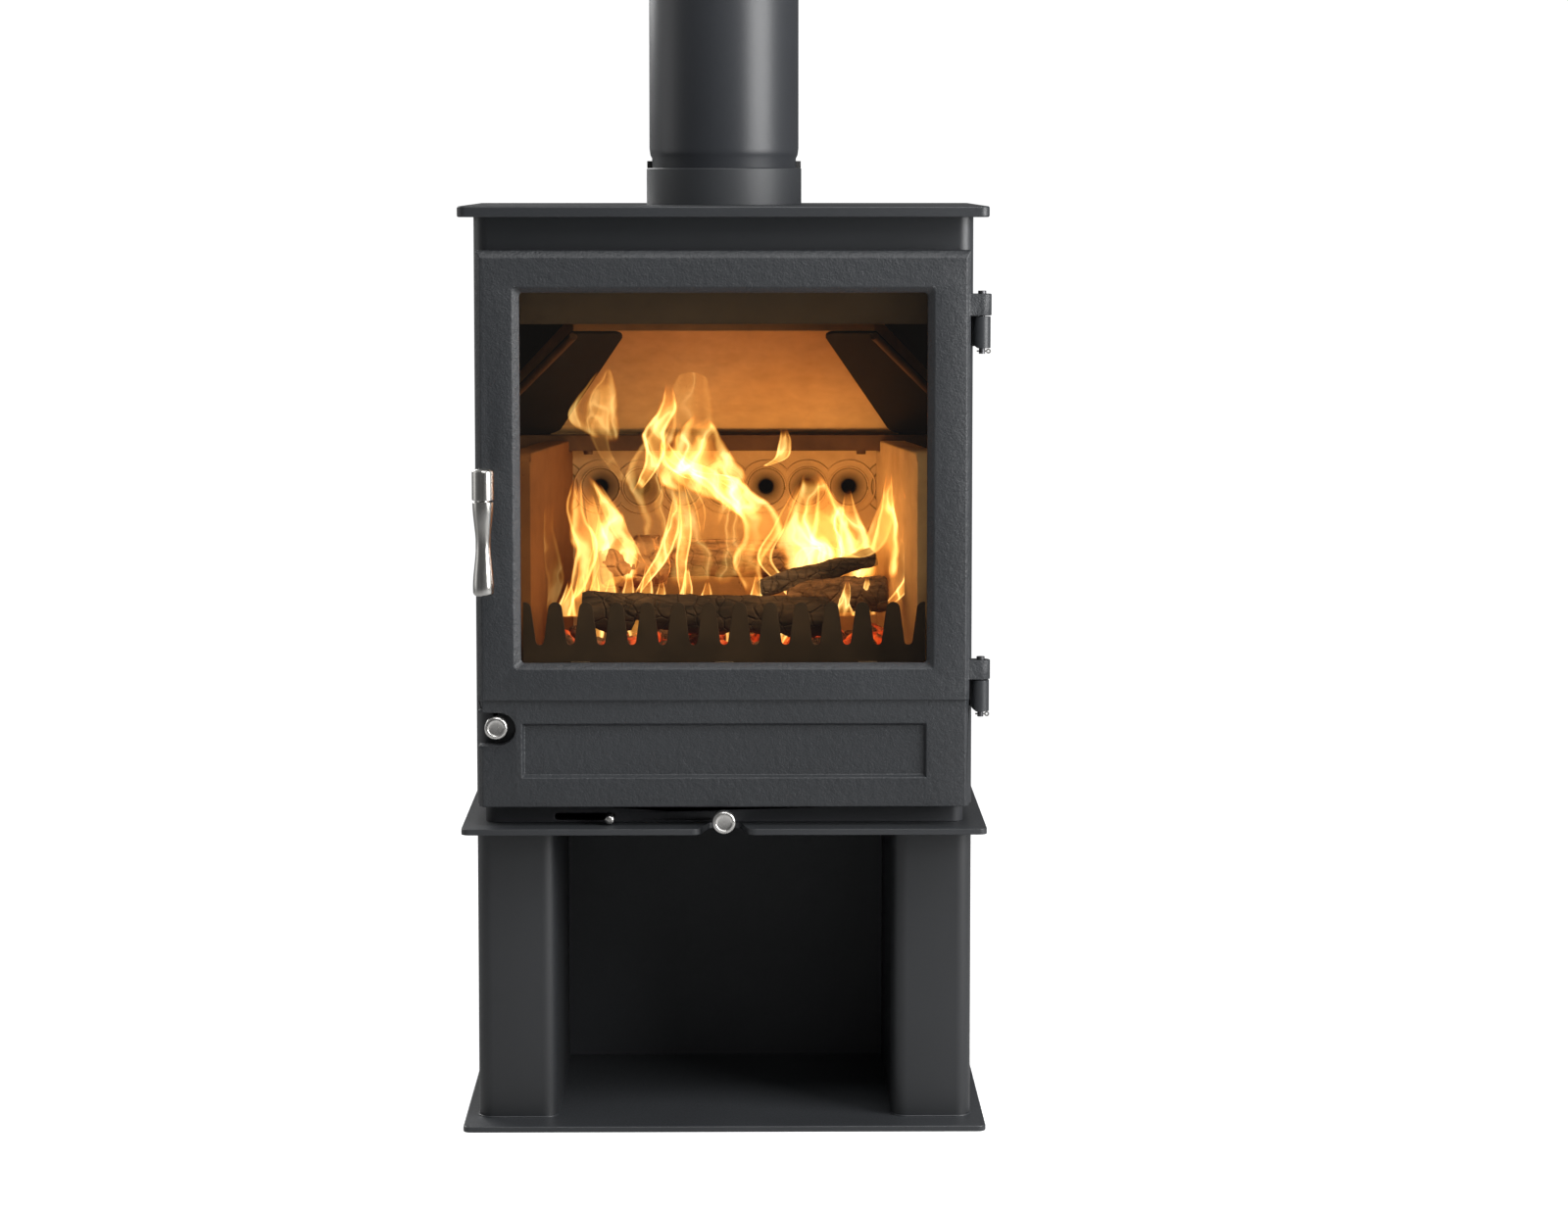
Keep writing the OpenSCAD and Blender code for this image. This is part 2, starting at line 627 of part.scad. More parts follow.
module door_casting() color(paint) difference() {
    union() {
        bevelled_plate(door_y0, upper_back_y, ledge_z, door_z1, 4.25, 7);
        bevelled_plate(lower_face_y, lower_back_y, door_z0, ledge_z + 2, 4, 0.01);
        panel(lower_back_y - 3, door_y1) difference() {
            polygon([[-door_x, door_z0], [door_x, door_z0], [door_x, door_z1], [-door_x, door_z1]]);
            polygon([[rim_t - door_x, door_z0 + rim_t], [door_x - rim_t, door_z0 + rim_t],
                [door_x - rim_t, door_z1 - rim_t], [rim_t - door_x, door_z1 - rim_t]]);
        }
        panel(upper_back_y - 2, seal_y0) seal_band(-seal_half - 0.5, seal_half + 2);
        panel(seal_y0 - 1, door_y1 - 1.5) seal_band(seal_half + 0.3, seal_half + 2);
        intersection() {
            pocket(3);
            block([-door_x, lower_face_y + 1, 300], [-190, door_y1 - 1.5, 500]);
        }
        intersection() {
            rod_y(handle_x, spindle_z, 9, upper_back_y - 2, cam_y0 - 4);
            block([-door_x, door_y0, 600], [0, door_y1, 700]);
        }
        for (i = [0, 1]) {
            rod_z(pin_x, pin_y, 9.2, lug_zs[i], lug_zs[i] + lug_h[i]);
            block([door_x - rim_t, pin_y - 9.2, lug_zs[i]], [pin_x, pin_y + 9.2, lug_zs[i] + lug_h[i]]);
        }
    }
    tapered_window(win_x, win_z0, win_z1, bevel_x, bevel_z, door_y0, door_y0 + 6.5);
    panel(door_y0 + 5, upper_back_y + cut)
        translate([-win_x, win_z0]) square([window_w, window_h]);
    tapered_window(win_x - 2.5, door_z0 + 31, door_z0 + 79.5, 2.5, 2.5, lower_face_y, lower_face_y + 5);
    pocket(0);
    rod_y(handle_x, spindle_z, spindle_r + fit, door_y0 - cut, cam_y0);
    block([-door_x - cut, cam_y0 - 5, spindle_z - 19], [-door_x + rim_t + cut, door_y1 + cut, spindle_z + 19]);
    for (i = [0, 1]) rod_z(pin_x, pin_y, pin_r + fit, lug_zs[i] - cut, lug_zs[i] + lug_h[i] + cut);
    for (x = clip_xs, z = clip_zs) rod_y(x, z, 2, upper_back_y - 5, upper_back_y + cut, $fn = 24);
}

glass_x = seal_x - 5.5;
glass_z = [win_z0 - 8, win_z1 + 8];
glass_y = upper_back_y + 1.2;

module door_glass() color("#705030", 0.35) panel(glass_y, glass_y + 4)
    polygon(rounded(-glass_x, glass_z[0], glass_x, glass_z[1], 3, 3));

module glass_gasket() color(rope) panel(upper_back_y, glass_y) difference() {
    polygon(rounded(-glass_x, glass_z[0], glass_x, glass_z[1], 3, 3));
    translate([-win_x - 1.5, win_z0 - 1.5]) square([window_w + 3, window_h + 3]);
}

// A bent clip on the back of the door: foot on the casting, finger on the glass
module glass_clip(x, edge, up) difference() {
    y = upper_back_y;
    union() {
        block([x - 9, y, min(edge + up * 1, edge + up * 13)], [x + 9, y + 1.5, max(edge + up * 1, edge + up * 13)]);
        block([x - 9, y, min(edge + up * 1, edge + up * 2.5)], [x + 9, y + 6.8, max(edge + up * 1, edge + up * 2.5)]);
        block([x - 9, y + 5.3, min(edge - up * 8, edge + up * 2.5)], [x + 9, y + 6.8, max(edge - up * 8, edge + up * 2.5)]);
    }
    rod_y(x, edge + up * 7.5, 2.1, y - cut, y + 1.5 + cut, $fn = 24);
}

module glass_clips() color(stainless) for (x = clip_xs) {
    glass_clip(x, glass_z[1], 1);
    glass_clip(x, glass_z[0], -1);
}

module clip_screws() color(stainless) for (x = clip_xs, z = [glass_z[1] + 7.5, glass_z[0] - 7.5]) {
    rod_y(x, z, 1.9, upper_back_y - 4.5, upper_back_y + 1.5, $fn = 24);
    rod_y(x, z, 3.5, upper_back_y + 1.5, upper_back_y + 3.9, $fn = 24);
}

module door_rope_seal() color(rope) panel(seal_y0, body_y0 - 0.3) seal_band(-seal_half, seal_half);

// ---------- door handle ----------

module handle_head() color(stainless) difference() {
    translate([handle_x, handle_y, 0]) rotate_extrude() polygon(concat(
        [[0, head_z0], [head_r - 0.6, head_z0], [head_r, head_z0 + 0.6]],
        arc(head_r - 4, head_z1 - 4, 4, 0, 90), [[0, head_z1]]));
    rod_y(handle_x, spindle_z, spindle_r, handle_y, handle_y + 2 * head_r);
}

module handle_grip() color(stainless) translate([handle_x, handle_y, 0]) rotate_extrude() {
    z1 = head_z0 - 1.4;
    z0 = z1 - grip_len;
    waist = 7.1;
    polygon(concat(
        [[0, z0], [4, z0]], arc(10.2 - 5, z0 + 5, 5, 300, 360, 6),
        [for (i = [0:14]) let (t = i / 14) [waist + (10.2 - waist) * pow(abs(2 * t - 0.96), 1.6) * 0.98,
            z0 + 9 + t * (grip_len - 12)]],
        [[10.2, z1 - 0.6], [9.6, z1], [6, z1], [6, head_z0], [0, head_z0]]));
}

module handle_collar() color(stainless) difference() {
    rod_y(handle_x, spindle_z, 7.5, handle_y + 12, door_y0 - 0.5);
    rod_y(handle_x, spindle_z, spindle_r, handle_y, door_y0);
}

module latch_spindle() color("#77787a") {
    rod_y(handle_x, spindle_z, spindle_r, handle_y, cam_y0);
    rod_y(handle_x, spindle_z, 3, cam_y0, cam_y1 + 3.5);
}

module latch_cam() color("#77787a") panel(cam_y0, cam_y1) difference() {
    polygon(concat(arc(handle_x, spindle_z, 7, 180, 360, 16),
        arc(handle_x + 1, spindle_z + cam_len - 4, 4, 0, 90), arc(handle_x - 1, spindle_z + cam_len - 4, 4, 90, 180)));
    translate([handle_x, spindle_z]) circle(r = 3);
}

module spindle_nut() color(stainless) difference() {
    translate([handle_x, cam_y1 + 3.4, spindle_z]) rotate([90, 0, 0]) cylinder(d = 10 / cos(30), h = 3.4, $fn = 6);
    rod_y(handle_x, spindle_z, 3.05, cam_y1 - cut, cam_y1 + 5);
}

// ---------- riddling control ----------

// A turned knob on a Y axis, its flat face at y0
module knob(x, z, y0) translate([x, y0 + 16, z]) rotate([90, 0, 0]) rotate_extrude() {
    r = knob_d / 2;
    polygon(concat([[0, 0], [6, 0], [6, 4], [r - 2, 4], [r, 6]],
        arc(r - 2.2, 16 - 2.2, 2.2, 0, 90), [[0, 16]]));
}

riddle_knob_y = lower_face_y - 8;

module riddling_knob() color(stainless) knob(riddle_x, riddle_z, riddle_knob_y);

module riddling_rod() color("#77787a") rod_y(riddle_x, riddle_z, rod_d / 2, riddle_knob_y + 16, -12);

module riddling_link() color(dark_steel) {
    block([riddle_x - 5, -12, riddle_z - 4], [-96, -6, riddle_z + 4]);
    block([-104, -12, riddle_z + 4], [-96, -6, grate_z0]);
}

module riddling_grate() color(dark_steel) difference() {
    block([-grate_x, -82, grate_z0], [grate_x, 82, bed_z0 - gap]);
    bar_slots(grate_z0, bed_z0);
}

// ---------- air controls ----------

slide_tab_y = -120;

air_knob_y = plate_y0 - 8;

module air_knob() color(stainless) knob(0, air_z, air_knob_y);

module air_rod() color("#77787a") rod_y(0, air_z, rod_d / 2, air_knob_y + 16, -62);

module air_slide_plate() color(dark_steel) {
    block([-60, -62, slide_z0], [60, 18, slide_z1]);
    block([-8, -62, air_z - rod_d / 2], [8, -58, slide_z0]);
}

module air_lever() color(stainless) {
    rod_y(lever_x, lever_z, 2.6, body_y0 - 8, slide_tab_y);
    translate([lever_x, body_y0 - 8, lever_z]) rotate([90, 0, 0]) rotate_extrude()
        polygon(concat([[0, -1], [3.4, -1], [4.6, 1]], arc(1.6, 9, 3, 0, 90), [[0, 12]]));
}

module secondary_air_slide() color(dark_steel) {
    block([lever_x - 47, -131, slide_z0], [lever_x + 13, -103, slide_z1]);
    block([lever_x - 4, slide_tab_y, lever_z - 2.6], [lever_x + 4, slide_tab_y + 3, slide_z0]);
}

log_store_base_plate();
log_store_left_leg();
log_store_right_leg();
log_store_back_panel();
log_store_top_plate();
log_store_bolts();
plinth();
body_floor();
body_shell();
body_back_panel();
rear_flue_blanking_plate();
blanking_plate_bolts();
top_plate();
flue_collar();
flue_seal_ring();
flue_pipe();
rear_fire_brick();
left_fire_brick();
right_fire_brick();
baffle_board();
baffle_left_plate();
baffle_right_plate();
baffle_support_rail();
rail_bolts();
air_wash_deflector();
rear_air_duct();
log_retainer();
fire_grate();
grate_ledges();
ash_pan();
ash_pan_handle();
ash_pan_runners();
upper_hinge_knuckle();
lower_hinge_knuckle();
hinge_pins();
split_pins();
hinge_screws();
latch_keeper();
air_slide_guides();
door_casting();
door_glass();
glass_gasket();
glass_clips();
clip_screws();
door_rope_seal();
handle_head();
handle_grip();
handle_collar();
latch_spindle();
latch_cam();
spindle_nut();
riddling_knob();
riddling_rod();
riddling_link();
riddling_grate();
air_knob();
air_rod();
air_slide_plate();
air_lever();
secondary_air_slide();
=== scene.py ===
"""Looks of the wood burning stove: materials, detailed pieces, studio and a lit fire."""
import math
import random

import bmesh
import bpy
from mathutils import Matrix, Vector, noise


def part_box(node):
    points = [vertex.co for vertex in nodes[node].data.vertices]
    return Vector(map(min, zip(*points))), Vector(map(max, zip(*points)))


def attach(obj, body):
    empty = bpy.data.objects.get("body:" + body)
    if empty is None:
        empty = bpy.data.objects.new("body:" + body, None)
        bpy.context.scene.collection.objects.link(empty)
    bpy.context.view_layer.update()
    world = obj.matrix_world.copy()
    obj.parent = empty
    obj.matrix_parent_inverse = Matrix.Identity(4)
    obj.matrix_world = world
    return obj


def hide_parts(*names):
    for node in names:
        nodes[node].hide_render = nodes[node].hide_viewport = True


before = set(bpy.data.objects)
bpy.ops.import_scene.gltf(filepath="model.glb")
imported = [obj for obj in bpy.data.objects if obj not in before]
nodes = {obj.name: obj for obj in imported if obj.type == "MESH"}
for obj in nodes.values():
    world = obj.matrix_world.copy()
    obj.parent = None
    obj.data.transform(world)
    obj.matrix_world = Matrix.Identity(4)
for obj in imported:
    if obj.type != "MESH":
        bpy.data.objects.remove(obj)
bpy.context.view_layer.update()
MM = 0.001
WELD_GAP = 0.01  # millimetres between points that count as one
scene = bpy.context.scene


# ---------- mesh helpers ----------

def mm(x, y, z):
    """A point given in millimetres."""
    return Vector((x, y, z)) * MM


def centre(node):
    """The middle of a CAD node's box."""
    low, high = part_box(node)
    return (low + high) / 2


def place_object(name, data):
    """Puts a new object with the given data in the scene."""
    piece = bpy.data.objects.new(name, data)
    scene.collection.objects.link(piece)
    return piece


def new_object(name, vertices, faces, smooth_angle=35):
    """A mesh object from lists of points and faces, with outward normals and smooth shading."""
    mesh = bpy.data.meshes.new(name)
    mesh.from_pydata([tuple(v) for v in vertices], [], faces)
    form = bmesh.new()
    form.from_mesh(mesh)
    bmesh.ops.recalc_face_normals(form, faces=form.faces)
    form.to_mesh(mesh)
    form.free()
    mesh.shade_smooth()
    mesh.set_sharp_from_angle(angle=math.radians(smooth_angle))
    return place_object(name, mesh)


def skin(rings, closed_path=False):
    """Faces between rings of equal length, with caps at both ends of an open path."""
    count = len(rings[0])
    vertices = [v for ring in rings for v in ring]
    faces = []
    last = len(rings) if closed_path else len(rings) - 1
    for i in range(last):
        a = i * count
        b = (i + 1) % len(rings) * count
        for j in range(count):
            k = (j + 1) % count
            faces.append((a + j, a + k, b + k, b + j))
    if not closed_path:
        faces.append(tuple(range(count)))
        faces.append(tuple(range(len(vertices) - count, len(vertices))))
    return vertices, faces


def lathe(name, profile, origin, axis="Z", steps=96):
    """A turned piece. The profile lists (radius, height) in millimetres along the axis."""
    rings = []
    for radius, height in profile:
        ring = []
        for i in range(steps):
            angle = 2 * math.pi * i / steps
            a, b = radius * math.cos(angle), radius * math.sin(angle)
            offset = mm(a, b, height) if axis == "Z" else mm(a, height, b)
            ring.append(origin + offset)
        rings.append(ring)
    return new_object(name, *skin(rings))


def tube(name, path, radius, sides=10, closed=False, shape=None):
    """A round tube along a path. shape(i, angle) scales its radius, for a braid or a rough edge."""
    rings = []
    total = len(path)
    side = None
    for i, point in enumerate(path):
        after = path[(i + 1) % total] if closed or i + 1 < total else point
        before = path[i - 1] if closed or i > 0 else point
        along = (after - before).normalized()
        if side is None:
            side = along.orthogonal().normalized()
        side = (side - along * side.dot(along)).normalized()
        other = along.cross(side)
        ring = []
        for j in range(sides):
            angle = 2 * math.pi * j / sides
            r = radius * (shape(i, angle) if shape else 1)
            ring.append(point + (side * math.cos(angle) + other * math.sin(angle)) * r)
        rings.append(ring)
    return new_object(name, *skin(rings, closed), smooth_angle=60)


def arc(cx, cz, radius, start, end, steps=10):
    """Points of an arc in a plane, in millimetres and degrees."""
    turns = [math.radians(start + (end - start) * i / steps) for i in range(steps + 1)]
    return [(cx + radius * math.cos(t), cz + radius * math.sin(t)) for t in turns]


def smooth_path(points, steps):
    """A curve through the given points, sampled evenly in its parameter."""
    padded = [2 * points[0] - points[1], *points, 2 * points[-1] - points[-2]]
    spans = len(points) - 1
    result = []
    for i in range(steps):
        t = i / (steps - 1) * spans
        k = min(int(t), spans - 1)
        t -= k
        p0, p1, p2, p3 = padded[k:k + 4]
        result.append(0.5 * (2 * p1 + (p2 - p0) * t + (2 * p0 - 5 * p1 + 4 * p2 - p3) * t * t
                             + (3 * p1 - p0 - 3 * p2 + p3) * t ** 3))
    return result


def assign(piece, material):
    """Gives the whole piece one material."""
    piece.data.materials.clear()
    piece.data.materials.append(material)
    return piece


def soften_edges(piece, width, angle, clamp):
    """Rounds edges sharper than the angle, in degrees, to the given width in millimetres."""
    edge = piece.modifiers.new("soft_edges", "BEVEL")
    edge.limit_method = "ANGLE"
    edge.angle_limit = math.radians(angle)
    edge.width = width * MM
    edge.segments = 3
    edge.harden_normals = True
    edge.use_clamp_overlap = clamp


def fit_out(piece, body, material):
    """Rides a new piece on its body and gives it its finish."""
    assign(piece, material)
    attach(piece, body)
    return piece


# ---------- material helpers ----------

def add(tree, kind, inputs=None, **settings):
    """A shader node. Inputs are values or the sockets that feed them."""
    node = tree.nodes.new("ShaderNode" + kind)
    for key, value in settings.items():
        setattr(node, key, value)
    for key, value in (inputs or {}).items():
        if isinstance(value, bpy.types.NodeSocket):
            tree.links.new(value, node.inputs[key])
        else:
            node.inputs[key].default_value = value
    return node


def maths(tree, operation, *values):
    """The result of a Math node."""
    return add(tree, "Math", dict(enumerate(values)), operation=operation).outputs[0]


def ramp(tree, factor, stops, mode="LINEAR"):
    """A colour ramp. Stops are (position, colour or grey)."""
    node = add(tree, "ValToRGB", {"Fac": factor})
    node.color_ramp.interpolation = mode
    elements = node.color_ramp.elements
    while len(elements) < len(stops):
        elements.new(0.5)
    for element, (place, colour) in zip(elements, stops):
        element.position = place
        grey = isinstance(colour, (int, float))
        element.color = (colour, colour, colour, 1) if grey else (*colour, 1)
    return node.outputs["Color"]


def blank(name):
    """A new material with its tree, its Principled shader and its object coordinates."""
    material = bpy.data.materials.new(name)
    material.use_nodes = True
    tree = material.node_tree
    place = add(tree, "TexCoord").outputs["Object"]
    return material, tree, tree.nodes["Principled BSDF"], place


def noise_at(tree, place, scale, detail=4, roughness=0.55, stretch=None):
    """A noise value at the given scale, per metre."""
    if stretch:
        place = add(tree, "Mapping", {"Vector": place, "Scale": stretch}).outputs["Vector"]
    return add(tree, "TexNoise", {"Vector": place, "Scale": scale, "Detail": detail,
                                  "Roughness": roughness}).outputs["Fac"]


def bumps(tree, shader, layers):
    """Stacks bump layers of (height, strength, distance in millimetres)."""
    normal = None
    for height, strength, distance in layers:
        inputs = {"Height": height, "Strength": strength, "Distance": distance * MM}
        if normal:
            inputs["Normal"] = normal
        normal = add(tree, "Bump", inputs).outputs["Normal"]
    tree.links.new(normal, shader.inputs["Normal"])


def paint(name, colour, grain, depth, roughness=0.52, wear=1.12):
    """Matt stove paint: a cloudy colour, a grain of the given size in millimetres and depth."""
    material, tree, shader, place = blank(name)
    cloudy = noise_at(tree, place, 5, 3)
    dark = [c * 0.86 for c in colour]
    light = [c * wear for c in colour]
    tree.links.new(ramp(tree, cloudy, [(0.3, dark), (0.7, light)]), shader.inputs["Base Color"])
    fine = noise_at(tree, place, 1000 / grain, 3, 0.6)
    broad = noise_at(tree, place, 320 / grain, 2, 0.5)
    gloss = ramp(tree, fine, [(0.3, roughness - 0.07), (0.7, roughness + 0.07)])
    tree.links.new(gloss, shader.inputs["Roughness"])
    bumps(tree, shader, [(fine, 0.7, depth), (broad, 0.5, depth * 1.6)])
    return material


def stainless(name, stretch, roughness=0.2, tone=0.57):
    """Turned stainless steel. The stretch sets which way its fine turning marks run."""
    material, tree, shader, place = blank(name)
    marks = noise_at(tree, place, 500, 2, 0.5, stretch)
    tree.links.new(ramp(tree, marks, [(0.3, (tone - 0.03, tone - 0.04, tone - 0.06)),
                                     (0.7, (tone + 0.03, tone + 0.02, tone))]),
                   shader.inputs["Base Color"])
    tree.links.new(ramp(tree, marks, [(0.3, roughness - 0.02), (0.7, roughness + 0.03)]),
                   shader.inputs["Roughness"])
    shader.inputs["Metallic"].default_value = 1
    bumps(tree, shader, [(marks, 0.15, 0.002)])
    return material


def metal(name, colour, roughness, metallic=1.0, tint=None):
    """Plain or heat-darkened steel with uneven gloss, and patches of a second tint."""
    material, tree, shader, place = blank(name)
    patches = noise_at(tree, place, 22, 5, 0.6)
    fine = noise_at(tree, place, 900, 3)
    second = tint or [c * 1.2 for c in colour]
    tree.links.new(ramp(tree, patches, [(0.35, colour), (0.7, second)]),
                   shader.inputs["Base Color"])
    tree.links.new(ramp(tree, patches, [(0.3, roughness - 0.08), (0.7, roughness + 0.1)]),
                   shader.inputs["Roughness"])
    shader.inputs["Metallic"].default_value = metallic
    bumps(tree, shader, [(fine, 0.4, 0.05)])
    return material


def pressed_board(name, colour, scorched, pit_size):
    """Pressed vermiculite: mottled, with fine grain, small pits and scorched patches."""
    material, tree, shader, place = blank(name)
    mottle = noise_at(tree, place, 45, 6, 0.65)
    scorch = noise_at(tree, place, 9, 3, 0.5)
    base = ramp(tree, mottle, [(0.3, [c * 0.82 for c in colour]), (0.65, colour)])
    burnt = ramp(tree, scorch, [(0.52, 0.0), (0.78, 0.55)])
    mixed = add(tree, "MixRGB", {"Fac": burnt, "Color1": base, "Color2": (*scorched, 1)})
    shader.inputs["Roughness"].default_value = 0.9
    shader.inputs["Specular IOR Level"].default_value = 0.2
    cells = add(tree, "TexVoronoi", {"Vector": place, "Scale": 1000 / pit_size}).outputs["Distance"]
    rare = noise_at(tree, place, 26, 2)
    pits = ramp(tree, cells, [(0.04, 0.0), (0.16, 1.0)])
    where = ramp(tree, rare, [(0.6, 1.0), (0.72, 0.0)])
    holes = add(tree, "MixRGB", {"Fac": 1.0, "Color1": pits, "Color2": where}, blend_type="LIGHTEN")
    pitted = ramp(tree, holes.outputs["Color"], [(0.0, 0.35), (0.8, 1.0)])
    spotted = add(tree, "MixRGB", {"Fac": 1.0, "Color1": mixed.outputs["Color"], "Color2": pitted},
                  blend_type="MULTIPLY")
    tree.links.new(spotted.outputs["Color"], shader.inputs["Base Color"])
    fine = noise_at(tree, place, 700, 4, 0.7)
    bumps(tree, shader, [(fine, 0.5, 0.25), (holes.outputs["Color"], 0.8, 0.9), (mottle, 0.4, 0.8)])
    return material


def coordinates(material):
    """A made material's tree and its object coordinates."""
    tree = material.node_tree
    return tree, next(n for n in tree.nodes if n.type == "TEX_COORD").outputs["Object"]


def darken(material, shade):
    """Multiplies a material's base colour by the given socket's colour."""
    tree = material.node_tree
    shader = tree.nodes["Principled BSDF"]
    old = shader.inputs["Base Color"].links[0].from_socket
    darker = add(tree, "MixRGB", {"Fac": 1.0, "Color1": old, "Color2": shade}, blend_type="MULTIPLY")
    tree.links.new(darker.outputs["Color"], shader.inputs["Base Color"])
    return material


def hole_darkening_and_ring_shade(material, pitch, hole_z):
    """Darker towards each of the rear brick's air holes, and thin dark lines of painted shade beside
    its pressed rings.
    """
    tree, place = coordinates(material)
    parts = add(tree, "SeparateXYZ", {"Vector": place})
    column = maths(tree, "WRAP", parts.outputs["X"], pitch / 2 * MM, -pitch / 2 * MM)
    row = maths(tree, "SUBTRACT", parts.outputs["Z"], hole_z * MM)
    flat = add(tree, "CombineXYZ", {"X": column, "Y": row})
    reach = add(tree, "VectorMath", {0: flat.outputs[0]}, operation="LENGTH").outputs["Value"]
    share = add(tree, "MapRange", {"Value": reach, "From Max": 32 * MM}).outputs[0]
    # Painted shade: the thin dark bands lie along the raised rings; nearer the hole the colour grows
    # darker
    rings = ramp(tree, share, [(0.0, 0.04), (0.24, 0.06), (0.31, 0.25), (0.56, 0.66), (0.605, 0.2),
                               (0.645, 0.85), (0.82, 0.95), (0.86, 0.25), (0.9, 1.0)])
    return darken(material, rings)


def scorched_top(material, low_z, high_z):
    """Browner towards the top, where the flames lick the board."""
    tree, place = coordinates(material)
    height = add(tree, "SeparateXYZ", {"Vector": place}).outputs["Z"]
    share = add(tree, "MapRange", {"Value": height, "From Min": low_z, "From Max": high_z})
    return darken(material, ramp(tree, share.outputs[0], [(0.1, (1, 1, 1)), (0.95, (0.8, 0.52, 0.38))]))


def knitted_rope():
    """Black knitted glass rope with a sheen from its fibres."""
    material, tree, shader, place = blank("knitted_rope")
    strands = noise_at(tree, place, 700, 2, 0.7, (1, 1, 2.5))
    tree.links.new(ramp(tree, strands, [(0.35, 0.008), (0.7, 0.035)]), shader.inputs["Base Color"])
    shader.inputs["Roughness"].default_value = 0.85
    shader.inputs["Sheen Weight"].default_value = 0.25
    bumps(tree, shader, [(strands, 0.8, 0.5)])
    return material


def stove_glass():
    """Ceramic glass: see-through with a slight amber tint and a clean reflection."""
    material, tree, _, place = blank("ceramic_glass")
    tree.nodes.remove(tree.nodes["Principled BSDF"])
    soot = noise_at(tree, place, 7, 4, 0.6)
    tint = ramp(tree, soot, [(0.3, (0.96, 0.89, 0.78)), (0.75, (0.90, 0.80, 0.66))])
    clear = add(tree, "BsdfTransparent", {"Color": tint})
    gloss = add(tree, "BsdfGlossy", {"Color": (0.9, 0.9, 0.95, 1), "Roughness": 0.04})
    facing = add(tree, "LayerWeight", {"Blend": 0.5}).outputs["Facing"]
    share = maths(tree, "MULTIPLY_ADD", maths(tree, "POWER", facing, 5.0), 0.8, 0.03)
    mixed = add(tree, "MixShader", {0: share, 1: clear.outputs[0], 2: gloss.outputs[0]})
    output = tree.nodes["Material Output"]
    tree.links.new(mixed.outputs[0], output.inputs["Surface"])
    return material


# Air holes in the rear brick, in millimetres: their pitch and their height over the floor
HOLE_PITCH, HOLE_Z = 42.9, 611

# Paints: colour, grain and depth in millimetres, roughness
cast_paint = paint("painted_casting", (0.0195, 0.0215, 0.0245), 2.2, 0.8, 0.48)
sheet_paint = paint("painted_sheet", (0.0215, 0.0235, 0.0265), 1.3, 0.05, 0.42)
# Painted shade: the legs take a darker copy of the sheet paint, as less light reaches down to them
shaded_leg_paint = paint("legs_paint_painted_shade", (0.0175, 0.0188, 0.0208), 1.3, 0.05, 0.45)
# Painted light: the log store plates take a lighter copy of the sheet paint, for the light on their
# upper faces
lit_plate_paint = paint("store_plates_paint_painted_light", (0.027, 0.029, 0.032), 1.3, 0.05, 0.42)
collar_paint = paint("painted_collar", (0.021, 0.023, 0.026), 1.0, 0.03, 0.5)
pipe_paint = paint("painted_flue", (0.021, 0.023, 0.027), 1.0, 0.02, 0.39)
# Painted shade: the log store's back panel, the plinth and the body's floor take a darker copy of the
# sheet paint
shadow_paint = paint("inner_paint_painted_shade", (0.016, 0.0175, 0.021), 1.3, 0.04, 0.6)
dark_steel = metal("heat_dark_steel", (0.02, 0.018, 0.017), 0.62, 0.4, (0.045, 0.028, 0.018))
comb_steel = metal("browned_steel", (0.024, 0.019, 0.0145), 0.6, 0.2, (0.042, 0.031, 0.022))
deflector_steel = metal("deflector_steel", (0.038, 0.033, 0.029), 0.6, 0.1, (0.055, 0.048, 0.041))
soot_steel = metal("sooty_steel", (0.010, 0.009, 0.009), 0.75, 0.0, (0.018, 0.013, 0.011))
rail_steel = metal("red_brown_steel", (0.10, 0.058, 0.036), 0.5, 0.3, (0.19, 0.11, 0.065))
fastener_steel = metal("plated_steel", (0.24, 0.24, 0.25), 0.38, 1.0, (0.36, 0.35, 0.33))
pin_steel = metal("dark_pin_steel", (0.09, 0.09, 0.095), 0.4, 0.9)
ring_marks_z = stainless("stainless_brushed_upright", (1, 1, 0.03), 0.23, 0.46)
ring_marks_y = stainless("stainless_turned_forward", (0.12, 0.02, 0.12), 0.27)
BRICK, BRICK_SCORCH = (0.66, 0.50, 0.31), (0.20, 0.09, 0.04)
fire_brick = pressed_board("fire_brick", BRICK, BRICK_SCORCH, 5)
# The left brick: the same pressed board in a much darker tone
darker_left_brick = pressed_board("darker_left_brick", (0.205, 0.095, 0.036), (0.09, 0.035, 0.012), 5)
ring_brick = pressed_board("ringed_brick", BRICK, BRICK_SCORCH, 5)
hole_darkening_and_ring_shade(ring_brick, HOLE_PITCH, HOLE_Z)
vermiculite = pressed_board("vermiculite_board", (0.74, 0.56, 0.34), (0.42, 0.24, 0.11), 7)
scorched_top(vermiculite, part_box("baffle_board")[0].z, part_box("baffle_board")[1].z)
rope_black = knitted_rope()
glass = stove_glass()

